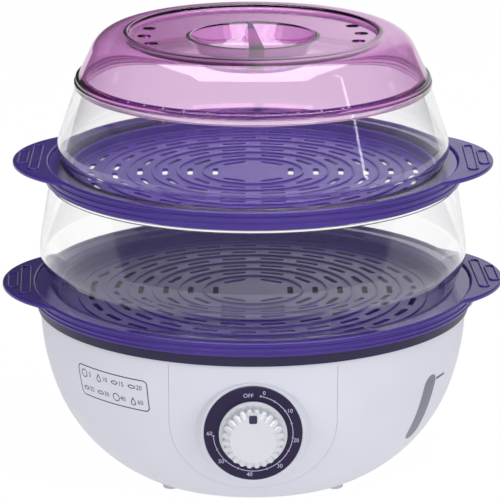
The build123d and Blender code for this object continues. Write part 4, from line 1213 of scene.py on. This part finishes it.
cut_away(lid, lid_web(), "UNION")
for side in (0.0, pi):
    for index in (-1, 0, 1):
        bearing = lid_turn + side + radians(vent_spacing) * index
        middle = (vent_circle * cos(bearing), vent_circle * sin(bearing))
        vent = circle_path(middle, vent_r, vent_steps)
        cut_away(lid, prism(vent, recess_z - 2 * lid_wall, recess_z + lid_wall, lid_plastic))
smooth(lid)
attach(lid, "lid")
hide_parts("lid")

# ---------------------------------------------------------------- studio
# A white paper floor, a light overhead and soft fill from both sides. Mirror and glass rays
# also meet two wide soft boxes overhead, a narrow strip light on the right, and a room that is
# darker in front and at the back left.
floor_half = 6000.0
floor_glow = 1.02
floor_share_seen = 0.95
floor_share_mirrored = 0.86
floor_share_scattered = 0.5


def ray_kinds(finish):
    """Whether a ray comes from the camera, from a mirror or through glass."""
    kinds = ("Is Camera Ray", "Is Glossy Ray", "Is Transmission Ray")
    return [finish.node("ShaderNodeLightPath", output=kind) for kind in kinds]


paper = Finish(bpy.data.materials.new("paper_floor"))
seen, mirrored, through = ray_kinds(paper)
fibre = paper.noise(3.0, 3.0)
sheet = {
    "Base Color": paper.blend(fibre, (0.90, 0.90, 0.91, 1), (0.88, 0.88, 0.89, 1)),
    "Roughness": 0.9,
    "Normal": paper.relief(fibre, 0.02),
}
matt = paper.node("ShaderNodeBsdfPrincipled", {}, sheet)
glow = paper.node("ShaderNodeEmission", {}, {"Color": (1, 1, 1, 1), "Strength": floor_glow})
scattered = paper.node("ShaderNodeLightPath", output="Is Diffuse Ray")
share = (
    seen * floor_share_seen
    + (mirrored + through) * floor_share_mirrored
    + scattered * floor_share_scattered
)
paper_material = paper.output(paper.node("ShaderNodeMixShader", {}, [share, matt, glow]))
corners = ((-1, -1), (1, -1), (1, 1), (-1, 1))
floor_points = [(floor_half * x, floor_half * y, 0) for x, y in corners]
floor = piece_from("floor_sheet", floor_points, [(0, 1, 2, 3)], paper_material)

world = bpy.data.worlds.new("studio")
bpy.context.scene.world = world
room = Finish(world)
seen, mirrored, through = ray_kinds(room)
ray = room.node("ShaderNodeTexCoord", output="Generated")
across, away, up = [room.node("ShaderNodeSeparateXYZ", {}, [ray], axis) for axis in range(3)]


def ramp(value, low, high, start, end):
    """Goes smoothly from one value to another while a signal goes from low to high."""
    return room.node(
        "ShaderNodeMapRange",
        {"interpolation_type": "SMOOTHSTEP"},
        {"Value": value, 1: low, 2: high, 3: start, 4: end},
    )


def backdrop(tint, strength):
    """Even light of one tint."""
    return room.node("ShaderNodeBackground", {}, {"Color": tint, "Strength": strength})


front_light = 0.2
back_shade = 0.12
window_light = 0.85
glass_light = 0.95
glass_share = 0.5
left_edge = ramp(across, -0.04, 0.04, 0.0, 1.0)
right_edge = ramp(across, 0.30, 0.50, 1.0, 0.25)
back_light = ramp(away, -0.25, 0.12, 0.0, 1.0) * left_edge * right_edge
mirror_light = (
    front_light - back_shade * ramp(away, 0.0, 0.2, 0.0, 1.0) + window_light * back_light
)
room_light = mirror_light + through * (glass_light - mirror_light) * glass_share
side_fill = ramp(across * across, 0.25, 0.8, 1.0, 0.45)
top_fill = ramp(up, 0.35, 0.9, 1.0, 0.6)
fill_light = ramp(away, -0.5, 0.6, 1.0, 0.45) * side_fill * top_fill
fill = backdrop((0.97, 0.98, 1.0, 1), fill_light)
walls = backdrop((1, 1, 1, 1), room_light)
white = backdrop((1, 1, 1, 1), 1.0)
lit_room = room.node("ShaderNodeMixShader", {}, [mirrored + through, fill, walls])
room.output(
    room.node("ShaderNodeMixShader", {}, [seen, lit_room, white]), "ShaderNodeOutputWorld"
)

stack_middle = Vector((0, 0, 150))


def soft_box(name, place, size, power, mirrored, shading=True):
    """Rectangular lamp turned towards the stack's middle, in millimetres and watts. It may be
    seen in mirror and glass rays, and it may light what is matt."""
    data = bpy.data.lights.new(name, "AREA")
    data.shape = "RECTANGLE"
    data.size, data.size_y = size[0] * MM, size[1] * MM
    data.energy = power
    lamp = placed(name, data)
    lamp.location = Vector(place) * MM
    lamp.rotation_euler = (stack_middle - Vector(place)).to_track_quat("-Z", "Y").to_euler()
    lamp.visible_glossy = mirrored
    lamp.visible_transmission = mirrored
    lamp.visible_diffuse = shading


soft_box("top_light", (350, 0, 1500), (1400, 1000), 5.5, False)
soft_box("top_box", (0, -65, 1500), (1850, 870), 27.0, True, False)
soft_box("front_box", (0, -850, 1480), (2000, 740), 26.0, True, False)
soft_box("left_fill", (-1100, -1300, 700), (800, 1000), 4.5, False)
soft_box("right_fill", (1100, -1300, 700), (800, 1000), 6.5, False)
soft_box("strip", (1473, -625, 900), (36, 1100), 0.9, True, False)
